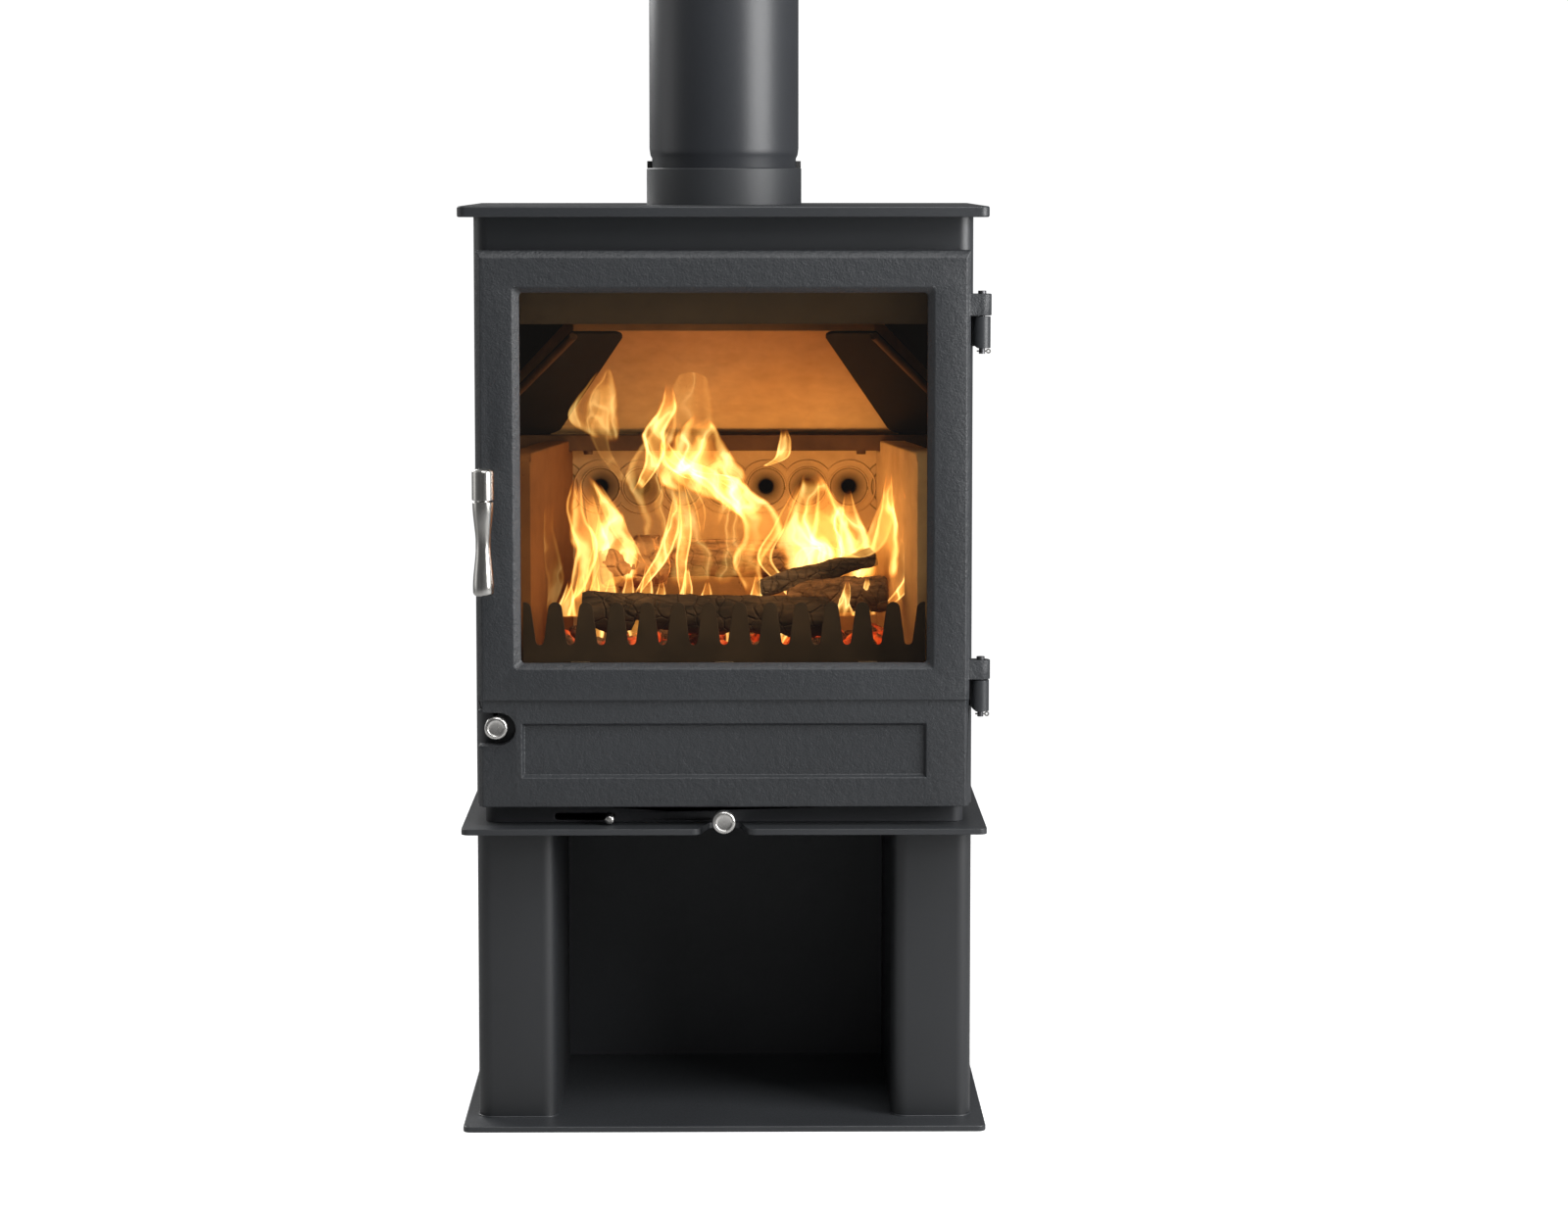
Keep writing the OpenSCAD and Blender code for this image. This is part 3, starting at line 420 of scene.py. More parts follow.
FINISHES = {
    sheet_paint: ["body_shell", "body_back_panel", "top_plate", "rear_flue_blanking_plate",
                  "upper_hinge_knuckle", "lower_hinge_knuckle"],
    shaded_leg_paint: ["log_store_left_leg", "log_store_right_leg"],
    lit_plate_paint: ["log_store_base_plate", "log_store_top_plate"],
    collar_paint: ["flue_collar"],
    shadow_paint: ["log_store_back_panel", "plinth", "body_floor"],
    pipe_paint: ["flue_pipe"],
    deflector_steel: ["air_wash_deflector"],
    soot_steel: ["baffle_left_plate", "baffle_right_plate"],
    rail_steel: ["baffle_support_rail", "rail_bolts"],
    dark_steel: ["rear_air_duct", "fire_grate", "grate_ledges", "ash_pan",
                 "ash_pan_runners", "air_slide_guides", "riddling_link", "riddling_grate",
                 "air_slide_plate", "secondary_air_slide"],
    comb_steel: ["log_retainer"],
    pin_steel: ["hinge_pins", "latch_cam", "latch_spindle", "riddling_rod", "air_rod"],
    fastener_steel: ["log_store_bolts", "blanking_plate_bolts", "hinge_screws", "latch_keeper",
                     "glass_clips", "clip_screws", "spindle_nut", "split_pins"],
    ring_marks_y: ["handle_collar", "air_lever", "ash_pan_handle"],
    ring_marks_z: ["handle_head"],
    ring_brick: ["rear_fire_brick"],
    darker_left_brick: ["left_fire_brick"],
    fire_brick: ["right_fire_brick"],
    vermiculite: ["baffle_board"],
    rope_black: ["glass_gasket", "flue_seal_ring"],
    glass: ["door_glass"],
}

# Edge widths in millimetres; every other node takes the small one, less where edges lie close
SMALL_EDGE = 0.35
EDGES = {"top_plate": 1.7, "log_store_top_plate": 0.6, "log_store_base_plate": 1.3,
         "upper_hinge_knuckle": 0.5, "lower_hinge_knuckle": 0.5,
         "left_fire_brick": 2.0, "right_fire_brick": 2.0, "rear_fire_brick": 0.8,
         "baffle_board": 1.2, "plinth": 0.6}


def finish_node(name, material):
    """Gives a CAD node its material, soft edges and smooth curves. Its vertices stay put."""
    piece = nodes[name]
    mesh = piece.data
    if "custom_normal" in mesh.attributes:
        mesh.attributes.remove(mesh.attributes["custom_normal"])
    mesh.shade_smooth()
    weld = piece.modifiers.new("weld", "WELD")
    weld.merge_threshold = WELD_GAP * MM
    soften_edges(piece, EDGES.get(name, SMALL_EDGE), 28, clamp=name not in EDGES)
    assign(piece, material)


for finish_material, names in FINISHES.items():
    for node_name in names:
        finish_node(node_name, finish_material)


def flat_sided_copy(node, name, x_cuts, z_cuts):
    """A copy of a CAD node, its flat faces whole but for cuts at the given places in millimetres."""
    form = bmesh.new()
    form.from_mesh(nodes[node].data)
    bmesh.ops.remove_doubles(form, verts=form.verts, dist=WELD_GAP * MM)
    planes = [(mm(x, 0, 0), (1, 0, 0)) for x in x_cuts] + [(mm(0, 0, z), (0, 0, 1)) for z in z_cuts]
    for point, normal in planes:
        parts = form.verts[:] + form.edges[:] + form.faces[:]
        cut = bmesh.ops.bisect_plane(form, geom=parts, dist=0.001 * MM, plane_co=point,
                                     plane_no=normal)
        for part in cut["geom_cut"]:
            if isinstance(part, bmesh.types.BMEdge):
                part.seam = True
    bmesh.ops.dissolve_limit(form, angle_limit=math.radians(0.4), verts=form.verts,
                             edges=form.edges, delimit={"SEAM"})
    mesh = bpy.data.meshes.new(name)
    form.to_mesh(mesh)
    form.free()
    mesh.shade_smooth()
    piece = place_object(name, mesh)
    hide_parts(node)
    return piece


def round_upright_edges(piece, spots, reach, radius):
    """Rounds the edges that run from front to back near the given (x, z) spots, in millimetres."""
    form = bmesh.new()
    form.from_mesh(piece.data)

    def near(vertex):
        across, up = vertex.co.x / MM, vertex.co.z / MM
        return any(max(abs(across - x), abs(up - z)) < reach for x, z in spots)

    chosen = [e for e in form.edges if near(e.verts[0]) and near(e.verts[1])
              and abs(e.verts[0].co.y - e.verts[1].co.y) > 1 * MM and e.calc_face_angle(0) > 0.5]
    bmesh.ops.bevel(form, geom=chosen, offset=radius * MM, segments=5, profile=0.5, affect="EDGES")
    form.to_mesh(piece.data)
    form.free()
    piece.data.shade_smooth()


def cast_door():
    """The door casting with rounded window corners and soft edges."""
    glass_low, glass_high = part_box("door_glass")
    side_lap, end_lap = 7.5, 8  # how far the glass reaches behind the casting
    window_x = glass_high.x / MM - side_lap
    window_low, window_high = glass_low.z / MM + end_lap, glass_high.z / MM - end_lap
    spindle = centre("latch_spindle") / MM
    pin = centre("hinge_pins") / MM
    clip_x = 140  # the outer clips that hold the glass
    beside, above, below, rim = 5, 9, 24.5, 3  # distances from the window's edge
    x_cuts = [spindle.x, -clip_x, 0, clip_x, pin.x, -window_x - beside, window_x + beside]
    z_cuts = [window_low - below, spindle.z, window_high + above]
    piece = flat_sided_copy("door_casting", "cast_door", x_cuts, z_cuts)
    corners = [(x, z) for x in (-window_x - rim, window_x + rim)
               for z in (window_low - rim, window_high + rim)]
    round_upright_edges(piece, corners, reach=2 * rim, radius=3.2)
    soften_edges(piece, 0.9, 24, clamp=False)
    return fit_out(piece, "door", cast_paint)


cast_door()


# ---------- handle and knobs ----------

AXIS = 0.01  # a turned profile ends this near its axis, in millimetres


def turned_grip():
    """The door handle's waisted grip, under its separate head."""
    low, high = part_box("handle_grip")
    middle = centre("handle_grip")
    length = (high.z - low.z) / MM
    waist, bulb, foot, neck = 7.1, 10.2, 4.2, 6  # radii
    profile = [(AXIS, 0)] + arc(bulb - foot, foot, foot, 270, 345, 10)
    body_from, body_to = 8.5, length - 3.0
    for i in range(33):
        t = i / 32
        swell = (0.5 + 0.5 * math.cos(2 * math.pi * (t * 0.96 + 0.02))) ** 0.9
        profile.append((waist + (bulb - waist) * swell, body_from + t * (body_to - body_from)))
    profile += [(bulb, length - 2.0), (bulb - 0.6, length - 1.4)]
    profile += [(neck, length - 1.4), (neck, length), (AXIS, length)]
    piece = lathe("turned_grip", profile, Vector((middle.x, middle.y, low.z)))
    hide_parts("handle_grip")
    return fit_out(piece, "door_handle", ring_marks_z)


def turned_knob(name, node, body):
    """A knob turned along Y: a stem, a rounded skirt and a slightly domed face."""
    low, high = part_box(node)
    middle = centre(node)
    radius = (high.x - low.x) / 2 / MM
    depth = (high.y - low.y) / MM
    stem, rim = 6, 2.4  # radii
    profile = [(AXIS, depth), (stem, depth), (stem, depth - 4), (radius - 2, depth - 4)]
    profile += [(radius, depth - 6), (radius, rim)] + arc(radius - rim, rim, rim, 0, -90, 8)
    profile += [(radius - 3.2, 0.0), (radius - 3.9, 0.5), (radius - 5.5, 0.75), (AXIS, 0.6)]
    piece = lathe(name, profile, Vector((middle.x, low.y, middle.z)), axis="Y")
    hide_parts(node)
    return fit_out(piece, body, ring_marks_y)


turned_grip()
turned_knob("turned_riddling_knob", "riddling_knob", "riddler")
turned_knob("turned_air_knob", "air_knob", "air_slide")


# ---------- rope seal ----------

def knitted_seal():
    """The door's rope seal: a round knitted rope that follows the stepped channel."""
    low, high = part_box("door_rope_seal")
    half, bend, step_in, step_down = 4.0, 6, 18, 13
    x_high = high.x / MM - half
    x_low = x_high - step_in
    z0, z1 = low.z / MM + half, high.z / MM - half
    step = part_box("door_glass")[0].z / MM - step_down
    run = arc(x_low - bend, z0 + bend, bend, -90, 0) + arc(x_high - bend, step + bend, bend, -90, 0)
    run += arc(x_high - bend, z1 - bend, bend, 0, 90)
    corners = run + [(-x, z) for x, z in reversed(run)]
    y = (low.y + high.y) / 2 / MM
    outline = [mm(x, y, z) for x, z in corners]
    path = []
    for i, point in enumerate(outline):
        after = outline[(i + 1) % len(outline)]
        parts = max(1, int((after - point).length / (2 * MM)))
        path += [point.lerp(after, k / parts) for k in range(parts)]

    def braid(i, angle):
        return 0.94 + 0.06 * math.sin(3 * angle + i * 0.9) * math.sin(3 * angle - i * 0.9)

    piece = tube("knitted_rope_seal", path, half * MM, 12, closed=True, shape=braid)
    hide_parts("door_rope_seal")
    return fit_out(piece, "door", rope_black)


knitted_seal()


# ---------- beads, rings and folds ----------

def weld_bead(side):
    """The seam where a leg stands on the base plate."""
    low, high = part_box("log_store_left_leg" if side < 0 else "log_store_right_leg")
    x0, x1 = low.x / MM, high.x / MM
    y0, y1 = low.y / MM, high.y / MM
    front, back = 15, 8  # the leg's corner radii
    outline = arc(x0 + front, y0 + front, front, 180, 270)
    outline += arc(x1 - front, y0 + front, front, 270, 360)
    outline += arc(x1 - back, y1 - back, back, 0, 90) + arc(x0 + back, y1 - back, back, 90, 180)
    path = []
    z = low.z / MM + 0.2
    for i, (x, y) in enumerate(outline):
        nx, ny = outline[(i + 1) % len(outline)]
        parts = max(1, int(math.hypot(nx - x, ny - y) / 4))
        path += [mm(x + (nx - x) * k / parts, y + (ny - y) * k / parts, z) for k in range(parts)]

    def ripple(i, angle):
        return 1 + 0.18 * noise.noise(Vector((i * 0.7, side, angle)))

    name = "left_leg_weld" if side < 0 else "right_leg_weld"
    piece = tube(name, path, 1.1 * MM, 8, closed=True, shape=ripple)
    return fit_out(piece, "stove", sheet_paint)


def brick_rings():
    """Raised scalloped outline and inner rings pressed round the rear brick's air holes."""
    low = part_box("rear_fire_brick")[0]
    outer, inner, count = 27.5, 20.4, 7
    y = low.y / MM
    meet = math.degrees(math.acos(HOLE_PITCH / 2 / outer))
    for i in range(count):
        x = (i - (count - 1) / 2) * HOLE_PITCH
        first = 180 if i == 0 else 180 - meet
        last = 0 if i == count - 1 else meet
        arcs = [(outer, first, last), (outer, -last, -first), (inner, 0, 350)]
        for k, (radius, a, b) in enumerate(arcs):
            path = [mm(px, y, pz) for px, pz in arc(x, HOLE_Z, radius, a, b, 32)]
            piece = tube(f"brick_ring_{i}_{k}", path, 0.9 * MM, 6)
            fit_out(piece, "stove", fire_brick)


def plate_folds():
    """The rolled outer edges of the baffle's side plates."""
    slope = math.radians(34.8)
    front_x, flare = 151, 61
    front_y, front_z, length = -60, 779, 107
    inset, drop, parts = 2, -6, 8
    for side in (-1, 1):
        path = []
        for t in range(parts + 1):
            x = front_x + flare * t / parts
            down = length * t / parts
            y = front_y + down * math.cos(slope) + drop * math.sin(slope)
            z = front_z - down * math.sin(slope) + drop * math.cos(slope)
            path.append(mm(side * (x - inset), y, z))
        name = "left_plate_fold" if side < 0 else "right_plate_fold"
        piece = tube(name, path, 4.2 * MM, 14)
        fit_out(piece, "stove", rail_steel)


for which in (-1, 1):
    weld_bead(which)
brick_rings()
plate_folds()


# ---------- the lit fire, which is stage dressing and not part of the object ----------

bed_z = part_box("fire_grate")[1].z / MM


def bark(name, dark, light, crack_size, ember=0.0):
    """Burning wood: long cracks, a lighter tone on its high spots and, if wanted, a glow."""
    material, tree, shader, place = blank(name)
    grain = noise_at(tree, place, 90, 6, 0.7, (0.16, 1, 1))
    cells = add(tree, "TexVoronoi", {"Vector": place, "Scale": 1000 / crack_size},
                feature="DISTANCE_TO_EDGE").outputs["Distance"]
    tree.links.new(ramp(tree, grain, [(0.35, dark), (0.7, light)]), shader.inputs["Base Color"])
    shader.inputs["Roughness"].default_value = 0.85
    cracks = ramp(tree, cells, [(0.0, 0.0), (0.09, 1.0)])
    bumps(tree, shader, [(grain, 0.8, 2.0), (cracks, 0.8, 2.5)])
    if ember:
        hot = noise_at(tree, place, 38, 3)
        glow = ramp(tree, hot, [(0.5, (0, 0, 0)), (0.6, (0.7, 0.05, 0.006)),
                                (0.78, (1, 0.24, 0.04))])
        tree.links.new(glow, shader.inputs["Emission Color"])
        shader.inputs["Emission Strength"].default_value = ember
    return material


def firewood(name, start, end, radius, flat, material, seed):
    """A split log between two points in millimetres, with a rough skin and one flatter side."""
    a, b = mm(*start), mm(*end)
    last = 40
    path = [a.lerp(b, i / last) for i in range(last + 1)]

    def rough(i, angle):
        wave = noise.noise(Vector((i * 0.12, math.cos(angle) * 1.6 + seed, math.sin(angle) * 1.6)))
        fine = noise.noise(Vector((i * 0.5, math.cos(angle) * 5, math.sin(angle) * 5 + seed)))
        split = 1 - flat * max(0.0, math.cos(angle - seed))
        ends = 1 - 0.1 * (i in (0, last))
        return split * (1 + 0.22 * wave + 0.1 * fine) * ends

    piece = tube(name, path, radius * MM, 28, shape=rough)
    assign(piece, material)


def embers(count):
    """The bed of glowing lumps behind the log retainer."""
    pick = random.Random(4)
    glowing = bark("ember", (0.03, 0.02, 0.016), (0.42, 0.27, 0.19), 14, 1.1)
    for k in range(count):
        size = pick.uniform(9, 19)
        spot = (pick.uniform(-172, 172), pick.uniform(-96, 60), bed_z + pick.uniform(4, 20))
        form = bmesh.new()
        bmesh.ops.create_icosphere(form, subdivisions=3, radius=size * MM)
        for v in form.verts:
            v.co *= 1 + 0.5 * noise.noise(v.co * 75 + Vector((k * 3.1, 0, 0)))
            v.co.z *= 0.75
        mesh = bpy.data.meshes.new(f"ember_{k}")
        form.to_mesh(mesh)
        form.free()
        mesh.shade_smooth()
        lump = place_object(f"ember_{k}", mesh)
        lump.location = mm(*spot)
        lump.rotation_euler = (pick.uniform(0, 6), pick.uniform(0, 6), pick.uniform(0, 6))
        assign(lump, glowing)


char = bark("charred_bark", (0.007, 0.006, 0.0055), (0.075, 0.057, 0.045), 15)
brown_bark = bark("brown_bark", (0.03, 0.018, 0.012), (0.45, 0.28, 0.16), 15)
ash_bark = bark("ashen_bark", (0.018, 0.016, 0.015), (0.19, 0.155, 0.13), 12)
pale_wood = bark("pale_split_wood", (0.5, 0.25, 0.09), (0.78, 0.46, 0.2), 22)
firewood("front_log", (-142, -66, bed_z + 60), (104, -60, bed_z + 54), 21, 0.2, char, 1)
firewood("rear_log", (-92, 22, bed_z + 104), (150, 34, bed_z + 98), 19, 0.35, brown_bark, 2)
firewood("split_log", (-130, -14, bed_z + 96), (-60, 8, bed_z + 100), 27, 0.3, pale_wood, 3)
firewood("leaning_log", (34, -40, bed_z + 76), (152, -14, bed_z + 106), 11, 0.3, ash_bark, 4)
firewood("right_log", (64, -30, bed_z + 68), (164, -40, bed_z + 72), 18, 0.3, brown_bark, 5)
embers(95)


def flame_material(name, gain, rim, crease, body):
    """Light added to what is behind it: a soft body, bright creases and a rim, set by the UV map."""
    material, tree, _, place = blank(name)
    tree.nodes.remove(tree.nodes["Principled BSDF"])
    parts = add(tree, "SeparateXYZ", {"Vector": add(tree, "TexCoord").outputs["UV"]})
    swirl = add(tree, "TexNoise", {"Vector": place, "Scale": 17, "Detail": 2}).outputs["Color"]
    half = (0.5, 0.5, 0.5)
    centred = add(tree, "VectorMath", {0: swirl, 1: half}, operation="SUBTRACT").outputs[0]
    push = add(tree, "VectorMath", {0: centred, "Scale": 0.07}, operation="SCALE").outputs[0]
    swept = add(tree, "VectorMath", {0: place, 1: push}, operation="ADD").outputs[0]
    folds = noise_at(tree, swept, 34, 1.5, 0.45, (1.0, 0.4, 0.30))
    ridge = maths(tree, "ABSOLUTE", maths(tree, "MULTIPLY_ADD", folds, 2.0, -1.0))
    creases = ramp(tree, ridge, [(0.0, 1.0), (0.05, 0.5), (0.15, 0.1), (0.3, 0.0)], "EASE")
    clouds = noise_at(tree, swept, 16, 2, 0.5, (1, 1, 0.4))
    soft = ramp(tree, clouds, [(0.34, 0.25), (0.62, 1.0)], "EASE")
    uneven = noise_at(tree, place, 28, 2)
    wobble = add(tree, "MapRange", {"Value": uneven, "To Min": -0.2, "To Max": 0.2}).outputs[0]
    across = maths(tree, "ADD", parts.outputs["X"], wobble)
    edge = maths(tree, "ABSOLUTE", maths(tree, "MULTIPLY_ADD", across, 2.0, -1.0))
    inside = ramp(tree, edge, [(0.0, 1.0), (0.62, 0.9), (1.0, 0.0)], "EASE")
    rims = ramp(tree, edge, [(0.45, 0.0), (0.76, 1.0), (0.98, 0.0)], "EASE")
    lift = maths(tree, "ADD", parts.outputs["Y"], wobble)
    along = ramp(tree, lift, [(0.0, 0.0), (0.1, 0.8), (0.5, 1.0), (0.8, 0.6), (1.0, 0.0)], "EASE")
    tips = [(0.0, 0.0), (0.07, 1.0), (0.88, 1.0), (1.0, 0.0)]
    ends = ramp(tree, parts.outputs["Y"], tips, "EASE")
    with_creases = maths(tree, "MULTIPLY_ADD", creases, crease, maths(tree, "MULTIPLY", soft, body))
    rimmed = maths(tree, "MULTIPLY_ADD", rims, rim, maths(tree, "MULTIPLY", with_creases, inside))
    level = maths(tree, "MULTIPLY", maths(tree, "MULTIPLY", rimmed, along), ends)
    colour = ramp(tree, level, [(0.0, (1, 0.2, 0.02)), (0.15, (1, 0.36, 0.05)),
                                (0.45, (1, 0.55, 0.14)), (1.0, (1, 0.72, 0.3))])
    power = maths(tree, "MULTIPLY", level, gain)
    light = add(tree, "Emission", {"Color": colour, "Strength": power})
    clear = add(tree, "BsdfTransparent", {"Color": (1, 1, 1, 1)})
    both = add(tree, "AddShader", {0: light.outputs[0], 1: clear.outputs[0]})
    tree.links.new(both.outputs[0], tree.nodes["Material Output"].inputs["Surface"])
    material.cycles.emission_sampling = "NONE"
    return material


veil = flame_material("flame_veil", 0.75, 0.6, 0.9, 0.16)
core = flame_material("flame_core", 1.8, 0.7, 1.1, 0.36)
blaze = flame_material("flame_blaze", 1.5, 0.3, 0.6, 0.85)
wisp = flame_material("flame_wisp", 0.34, 0.3, 0.7, 0.4)


def flame(left, right, y, material, bulge=8, steps=48, ways=14):
    """A curved sheet of flame between two edges, each a list of (x, height over the bed)."""
    edges = [smooth_path([mm(x, y, bed_z + h) for x, h in edge], steps) for edge in (left, right)]
    vertices, faces, uvs = [], [], []
    for i in range(steps):
        for j in range(ways + 1):
            u = j / ways
            point = edges[0][i].lerp(edges[1][i], u)
            flutter = noise.noise(point * 22 + Vector((0, y, 0))) * 9 * MM
            point.y += flutter - bulge * MM * math.sin(math.pi * u)
            vertices.append(point)
            uvs.append((u, i / (steps - 1)))
    row = ways + 1
    for i in range(steps - 1):
        for j in range(ways):
            a = i * row + j
            faces.append((a, a + 1, a + row + 1, a + row))
    mesh = bpy.data.meshes.new("flame")
    mesh.from_pydata([tuple(v) for v in vertices], [], faces)
    layer = mesh.uv_layers.new(name="flame")
    for loop in mesh.loops:
        layer.data[loop.index].uv = uvs[loop.vertex_index]
    mesh.shade_smooth()
    piece = place_object("flame", mesh)
    assign(piece, material)
    piece.visible_diffuse = False
    piece.visible_glossy = False
    piece.visible_shadow = False


def strand(path, width, y, material):
    """A narrow flame along a path of (x, height), thickest in its middle and thin at both ends."""
    left, right = [], []
    for k, (x, h) in enumerate(path):
        half = width * (0.25 + 0.75 * math.sin(math.pi * k / (len(path) - 1))) / 2
        left.append((x - half, h))
        right.append((x + half, h))
    flame(left, right, y, material, bulge=4)


def light_the_fire():
    """The flames, from the left of the fire bed to the right."""
    flame([(-166, 52), (-147, 92), (-158, 140), (-150, 192)],
          [(-74, 92), (-94, 130), (-108, 164), (-138, 196)], -20, core)
    flame([(-140, 60), (-134, 96), (-136, 130), (-142, 176)],
          [(-104, 66), (-112, 108), (-120, 140), (-134, 178)], -28, blaze)
    strand([(-164, 54), (-146, 84), (-138, 120), (-150, 158), (-146, 196)], 24, -26, core)
    strand([(-80, 100), (-100, 126), (-116, 158), (-132, 190)], 20, -24, veil)
    strand([(-142, 58), (-130, 106), (-120, 150), (-124, 180)], 16, -30, veil)
    flame([(-122, 218), (-156, 244), (-150, 266), (-124, 300)],
          [(-106, 222), (-104, 258), (-110, 282), (-116, 302)], 0, veil)
    strand([(-96, 176), (-122, 214), (-126, 236), (-118, 262), (-124, 292)], 22, -4, wisp)
    flame([(-92, 84), (-84, 140), (-100, 190), (-72, 240), (-64, 276)],
          [(-36, 92), (-42, 150), (-56, 200), (-48, 240), (-52, 280)], 10, veil)
    strand([(-92, 168), (-70, 206), (-70, 232), (-56, 256), (-56, 284)], 26, -10, core)
    strand([(-46, 246), (-56, 216), (-40, 196), (-8, 190), (14, 172), (36, 150), (38, 132),
            (24, 106), (28, 82), (36, 54)], 44, -34, core)
    flame([(-66, 180), (-64, 214), (-46, 236), (-26, 256)],
          [(28, 146), (22, 190), (4, 220), (-18, 258)], -30, core)
    flame([(-58, 186), (-50, 208), (-38, 222), (-24, 236)],
          [(32, 138), (22, 168), (4, 194), (-14, 234)], -24, blaze)
    strand([(-62, 230), (-52, 206), (-30, 190), (6, 184), (34, 152)], 26, -38, core)
    strand([(-42, 60), (-43, 104), (-38, 146), (-46, 200)], 15, -32, core)
    strand([(-92, 66), (-64, 106), (-52, 140), (-46, 182)], 17, -26, core)
    strand([(-22, 132), (-24, 156), (-34, 180), (-46, 204)], 12, -36, veil)
    flame([(-60, 74), (-54, 140), (-56, 180), (-50, 225)],
          [(38, 76), (40, 140), (22, 180), (2, 222)], 0, veil)
    flame([(-54, 215), (-58, 262), (-44, 300), (-32, 340)],
          [(-4, 220), (-12, 262), (-18, 300), (-24, 342)], 12, wisp)
    strand([(84, 52), (56, 84), (41, 110), (58, 144), (80, 192)], 17, -30, core)
    flame([(62, 80), (52, 114), (66, 150), (80, 196)],
          [(150, 76), (142, 120), (122, 156), (92, 198)], -8, core)
    flame([(80, 82), (80, 118), (90, 154), (94, 190)],
          [(146, 80), (136, 124), (116, 156), (98, 192)], -14, core)
    flame([(108, 82), (112, 116), (116, 146), (122, 178)],
          [(156, 82), (150, 126), (136, 152), (126, 180)], -16, core)
    flame([(134, 82), (146, 116), (156, 152), (163, 196)],
          [(178, 86), (178, 130), (173, 162), (168, 198)], -18, core)
    strand([(68, 84), (80, 112), (98, 118), (128, 108), (152, 124), (164, 160), (166, 182)],
           30, -22, blaze)
    flame([(60, 84), (66, 116), (74, 146), (88, 172)],
          [(160, 84), (150, 118), (132, 128), (104, 150)], -12, blaze)
    strand([(-62, 222), (-46, 206), (-26, 196), (-2, 176), (18, 156), (34, 140)], 40, -20, blaze)
    strand([(124, 64), (158, 60), (182, 80), (192, 112), (190, 146), (178, 184)], 16, -44, core)
    strand([(176, 60), (174, 96), (186, 134), (184, 178)], 20, -40, wisp)
    strand([(40, 198), (58, 208), (62, 222), (60, 240)], 17, -10, core)
    strand([(-176, 50), (-170, 90), (-178, 130), (-174, 170)], 22, -36, wisp)
    tongues = ((-158, 22), (-146, 34), (-132, 30), (-116, 28), (-98, 34), (-80, 40),
               (-66, 22), (-40, 38), (-20, 22), (30, 30), (120, 22), (140, 26))
    for x, height in tongues:
        middle, top = 62 + height / 2, 66 + height
        flame([(x - 13, 50), (x - 10, 60), (x - 4, middle), (x + 2, top)],
              [(x + 13, 50), (x + 10, 60), (x + 8, middle), (x + 4, top)], -46, core)
    for x in (-132, -90, 6, 50):
        strand([(x - 2, 16), (x + 4, 34), (x + 2, 48), (x + 5, 62)], 22, -74, core)


light_the_fire()


def fire_light(x, y, height, watts, size=50):
    """A warm lamp inside the fire, which the camera doesn't see."""
    lamp = bpy.data.lights.new("fire_light", "POINT")
    lamp.energy = watts
    lamp.color = (1.0, 0.55, 0.2)
    lamp.shadow_soft_size = size * MM
    piece = place_object("fire_light", lamp)
    piece.location = mm(x, y, bed_z + height)
    piece.visible_camera = False
    piece.visible_glossy = False


for lamp_x, lamp_watts in ((-30, 0.22), (30, 0.33), (105, 0.42)):
    fire_light(lamp_x, 10, 125, lamp_watts)
for lamp_x in (-90, 60):
    fire_light(lamp_x, -96, 96, 0.09, 20)


# ---------- studio ----------

def pale_floor():
    """A plain white floor that fades out at its rim."""
    steps, radius = 96, 3.2
    ring = [Vector((radius * math.cos(2 * math.pi * i / steps),
                    radius * math.sin(2 * math.pi * i / steps), 0)) for i in range(steps)]
    floor = new_object("floor", ring, [tuple(range(steps))])
    material, tree, shader, place = blank("white_floor")
    shader.inputs["Base Color"].default_value = (0.5, 0.5, 0.5, 1)
    shader.inputs["Roughness"].default_value = 0.8
    shader.inputs["Specular IOR Level"].default_value = 0.1
    shader.inputs["Emission Color"].default_value = (1, 1, 1, 1)
    seen = add(tree, "LightPath").outputs["Is Camera Ray"]
    lift = add(tree, "MapRange", {"Value": seen, "To Min": 0.02, "To Max": 0.75})
    tree.links.new(lift.outputs[0], shader.inputs["Emission Strength"])
    reach = add(tree, "VectorMath", {0: place}, operation="LENGTH").outputs["Value"]
    fade = add(tree, "MapRange", {"Value": reach, "From Min": 1.6, "From Max": 3.0,
                                  "To Min": 1.0, "To Max": 0.0})
    tree.links.new(fade.outputs[0], shader.inputs["Alpha"])
    material.cycles.emission_sampling = "NONE"
    assign(floor, material)


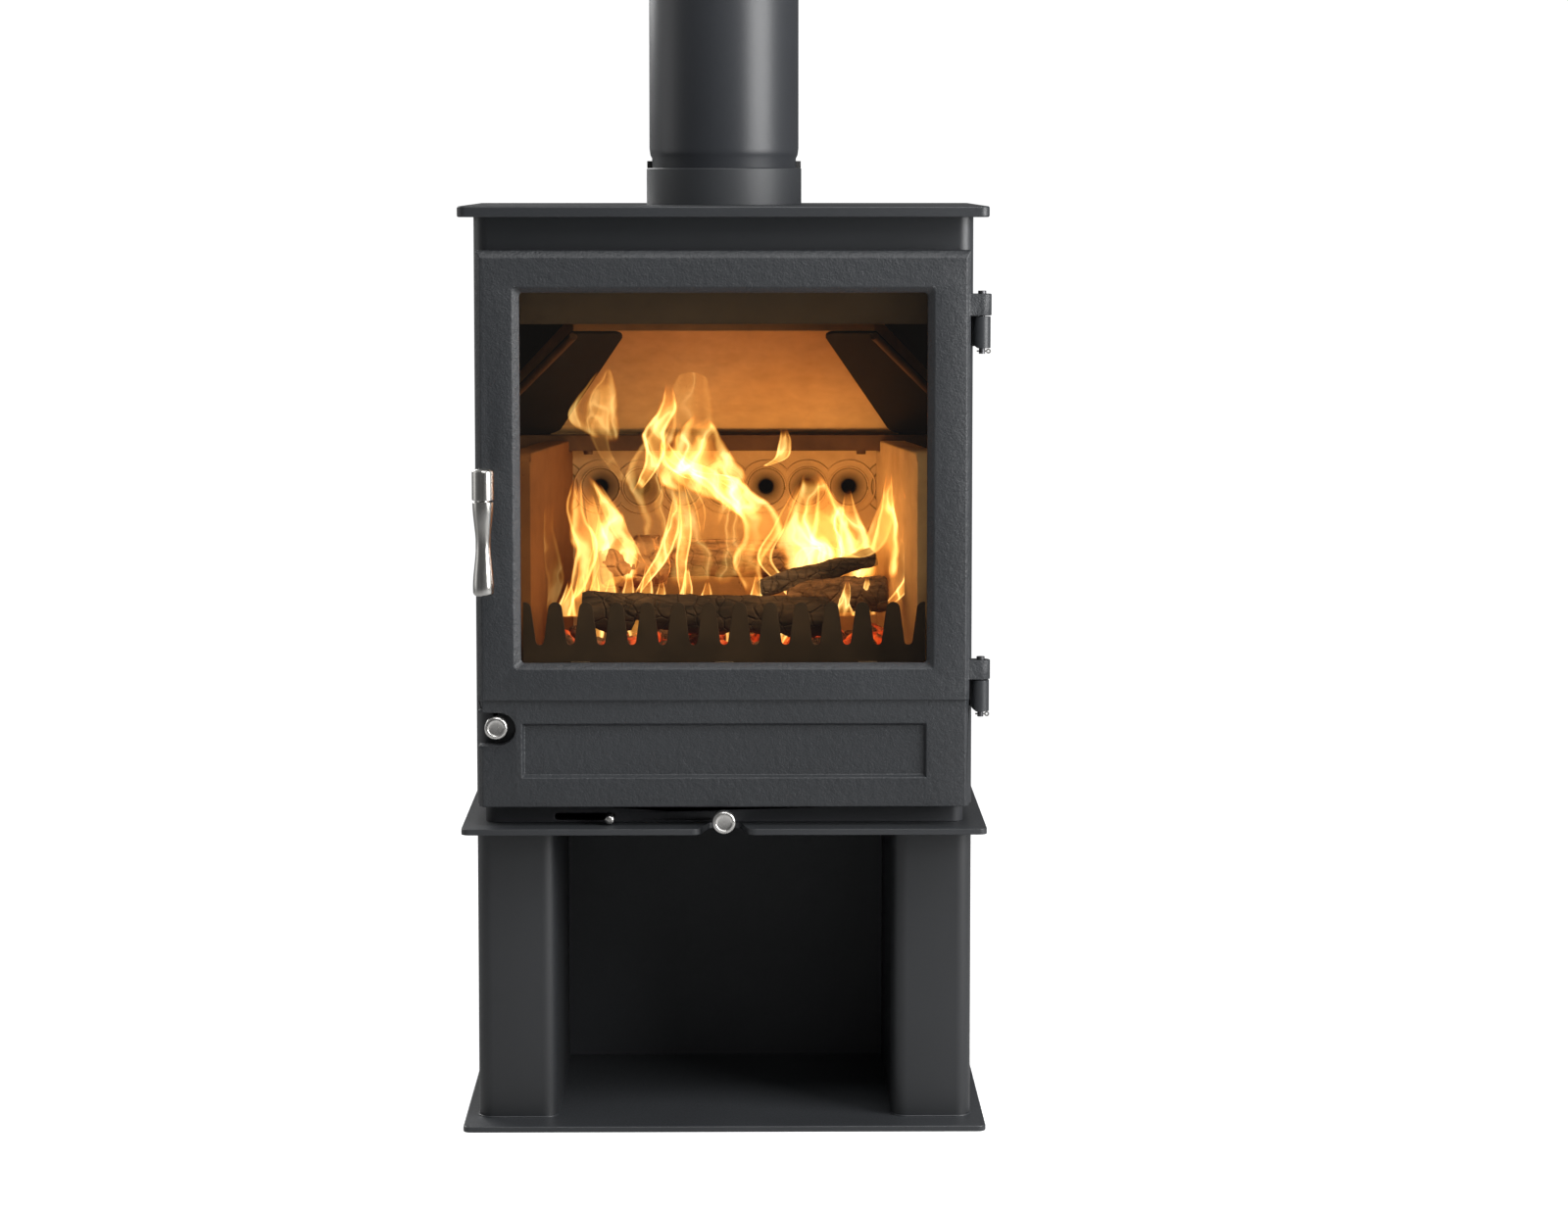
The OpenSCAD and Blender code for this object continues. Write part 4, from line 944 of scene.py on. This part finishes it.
def softbox(name, place, target, size, watts, colour=(1, 1, 1)):
    """A rectangular studio light aimed at a point."""
    lamp = bpy.data.lights.new(name, "AREA")
    lamp.shape = "RECTANGLE"
    lamp.size, lamp.size_y = size
    lamp.energy = watts
    lamp.color = colour
    piece = place_object(name, lamp)
    piece.location = place
    piece.rotation_euler = (Vector(target) - Vector(place)).to_track_quat("-Z", "Y").to_euler()
    piece.visible_camera = False


def studio_world():
    """White to the camera. As light, bright at the sides and dimmer in front and behind."""
    world = bpy.data.worlds.new("studio")
    world.use_nodes = True
    tree = world.node_tree
    tree.nodes.clear()
    way = add(tree, "TexCoord").outputs["Generated"]
    parts = add(tree, "SeparateXYZ", {"Vector": way})
    depth = add(tree, "MapRange", {"Value": parts.outputs["Y"], "From Min": -1, "From Max": 1})
    soft = ramp(tree, depth.outputs[0], [(0.0, 0.12), (0.3, 0.19), (0.5, 0.62), (0.72, 0.3),
                                         (1.0, 0.14)])
    studio = add(tree, "Background", {"Color": soft, "Strength": 0.9})
    white = add(tree, "Background", {"Color": (1, 1, 1, 1), "Strength": 1.05})
    seen = add(tree, "LightPath").outputs["Is Camera Ray"]
    mixed = add(tree, "MixShader", {0: seen, 1: studio.outputs[0], 2: white.outputs[0]})
    output = add(tree, "OutputWorld")
    tree.links.new(mixed.outputs[0], output.inputs["Surface"])
    scene.world = world


pale_floor()
studio_world()
softbox("key", (1.75, -1.15, 1.25), (0, 0, 0.8), (1.3, 1.7), 72)
softbox("overhead", (0.2, -1.5, 3.0), (0, -0.1, 0.2), (1.5, 0.9), 36)
softbox("front", (0.6, -3.1, 2.3), (0, -0.1, 0.5), (1.7, 0.8), 10)
softbox("left_strip", (-2.4, 0.2, 1.2), (0, 0, 0.7), (1.5, 1.8), 6)
softbox("rear", (-1.7, 2.3, 2.0), (0, 0.1, 0.6), (1.6, 1.6), 62)


# ---------- camera ----------

def set_camera():
    """The view: a long lens, nearly straight on and looking slightly down."""
    data = bpy.data.cameras.new("camera")
    data.sensor_width = 36
    data.lens = 93.08
    data.shift_y = -0.04
    data.clip_start, data.clip_end = 0.1, 100
    camera = place_object("camera", data)
    camera.location = (0.0137, -4.0857, 0.940)
    camera.rotation_euler = (math.radians(90 - 5.29), 0, math.radians(-0.653))
    scene.camera = camera


set_camera()
scene.view_settings.view_transform = "Standard"
scene.cycles.transparent_max_bounces = 40
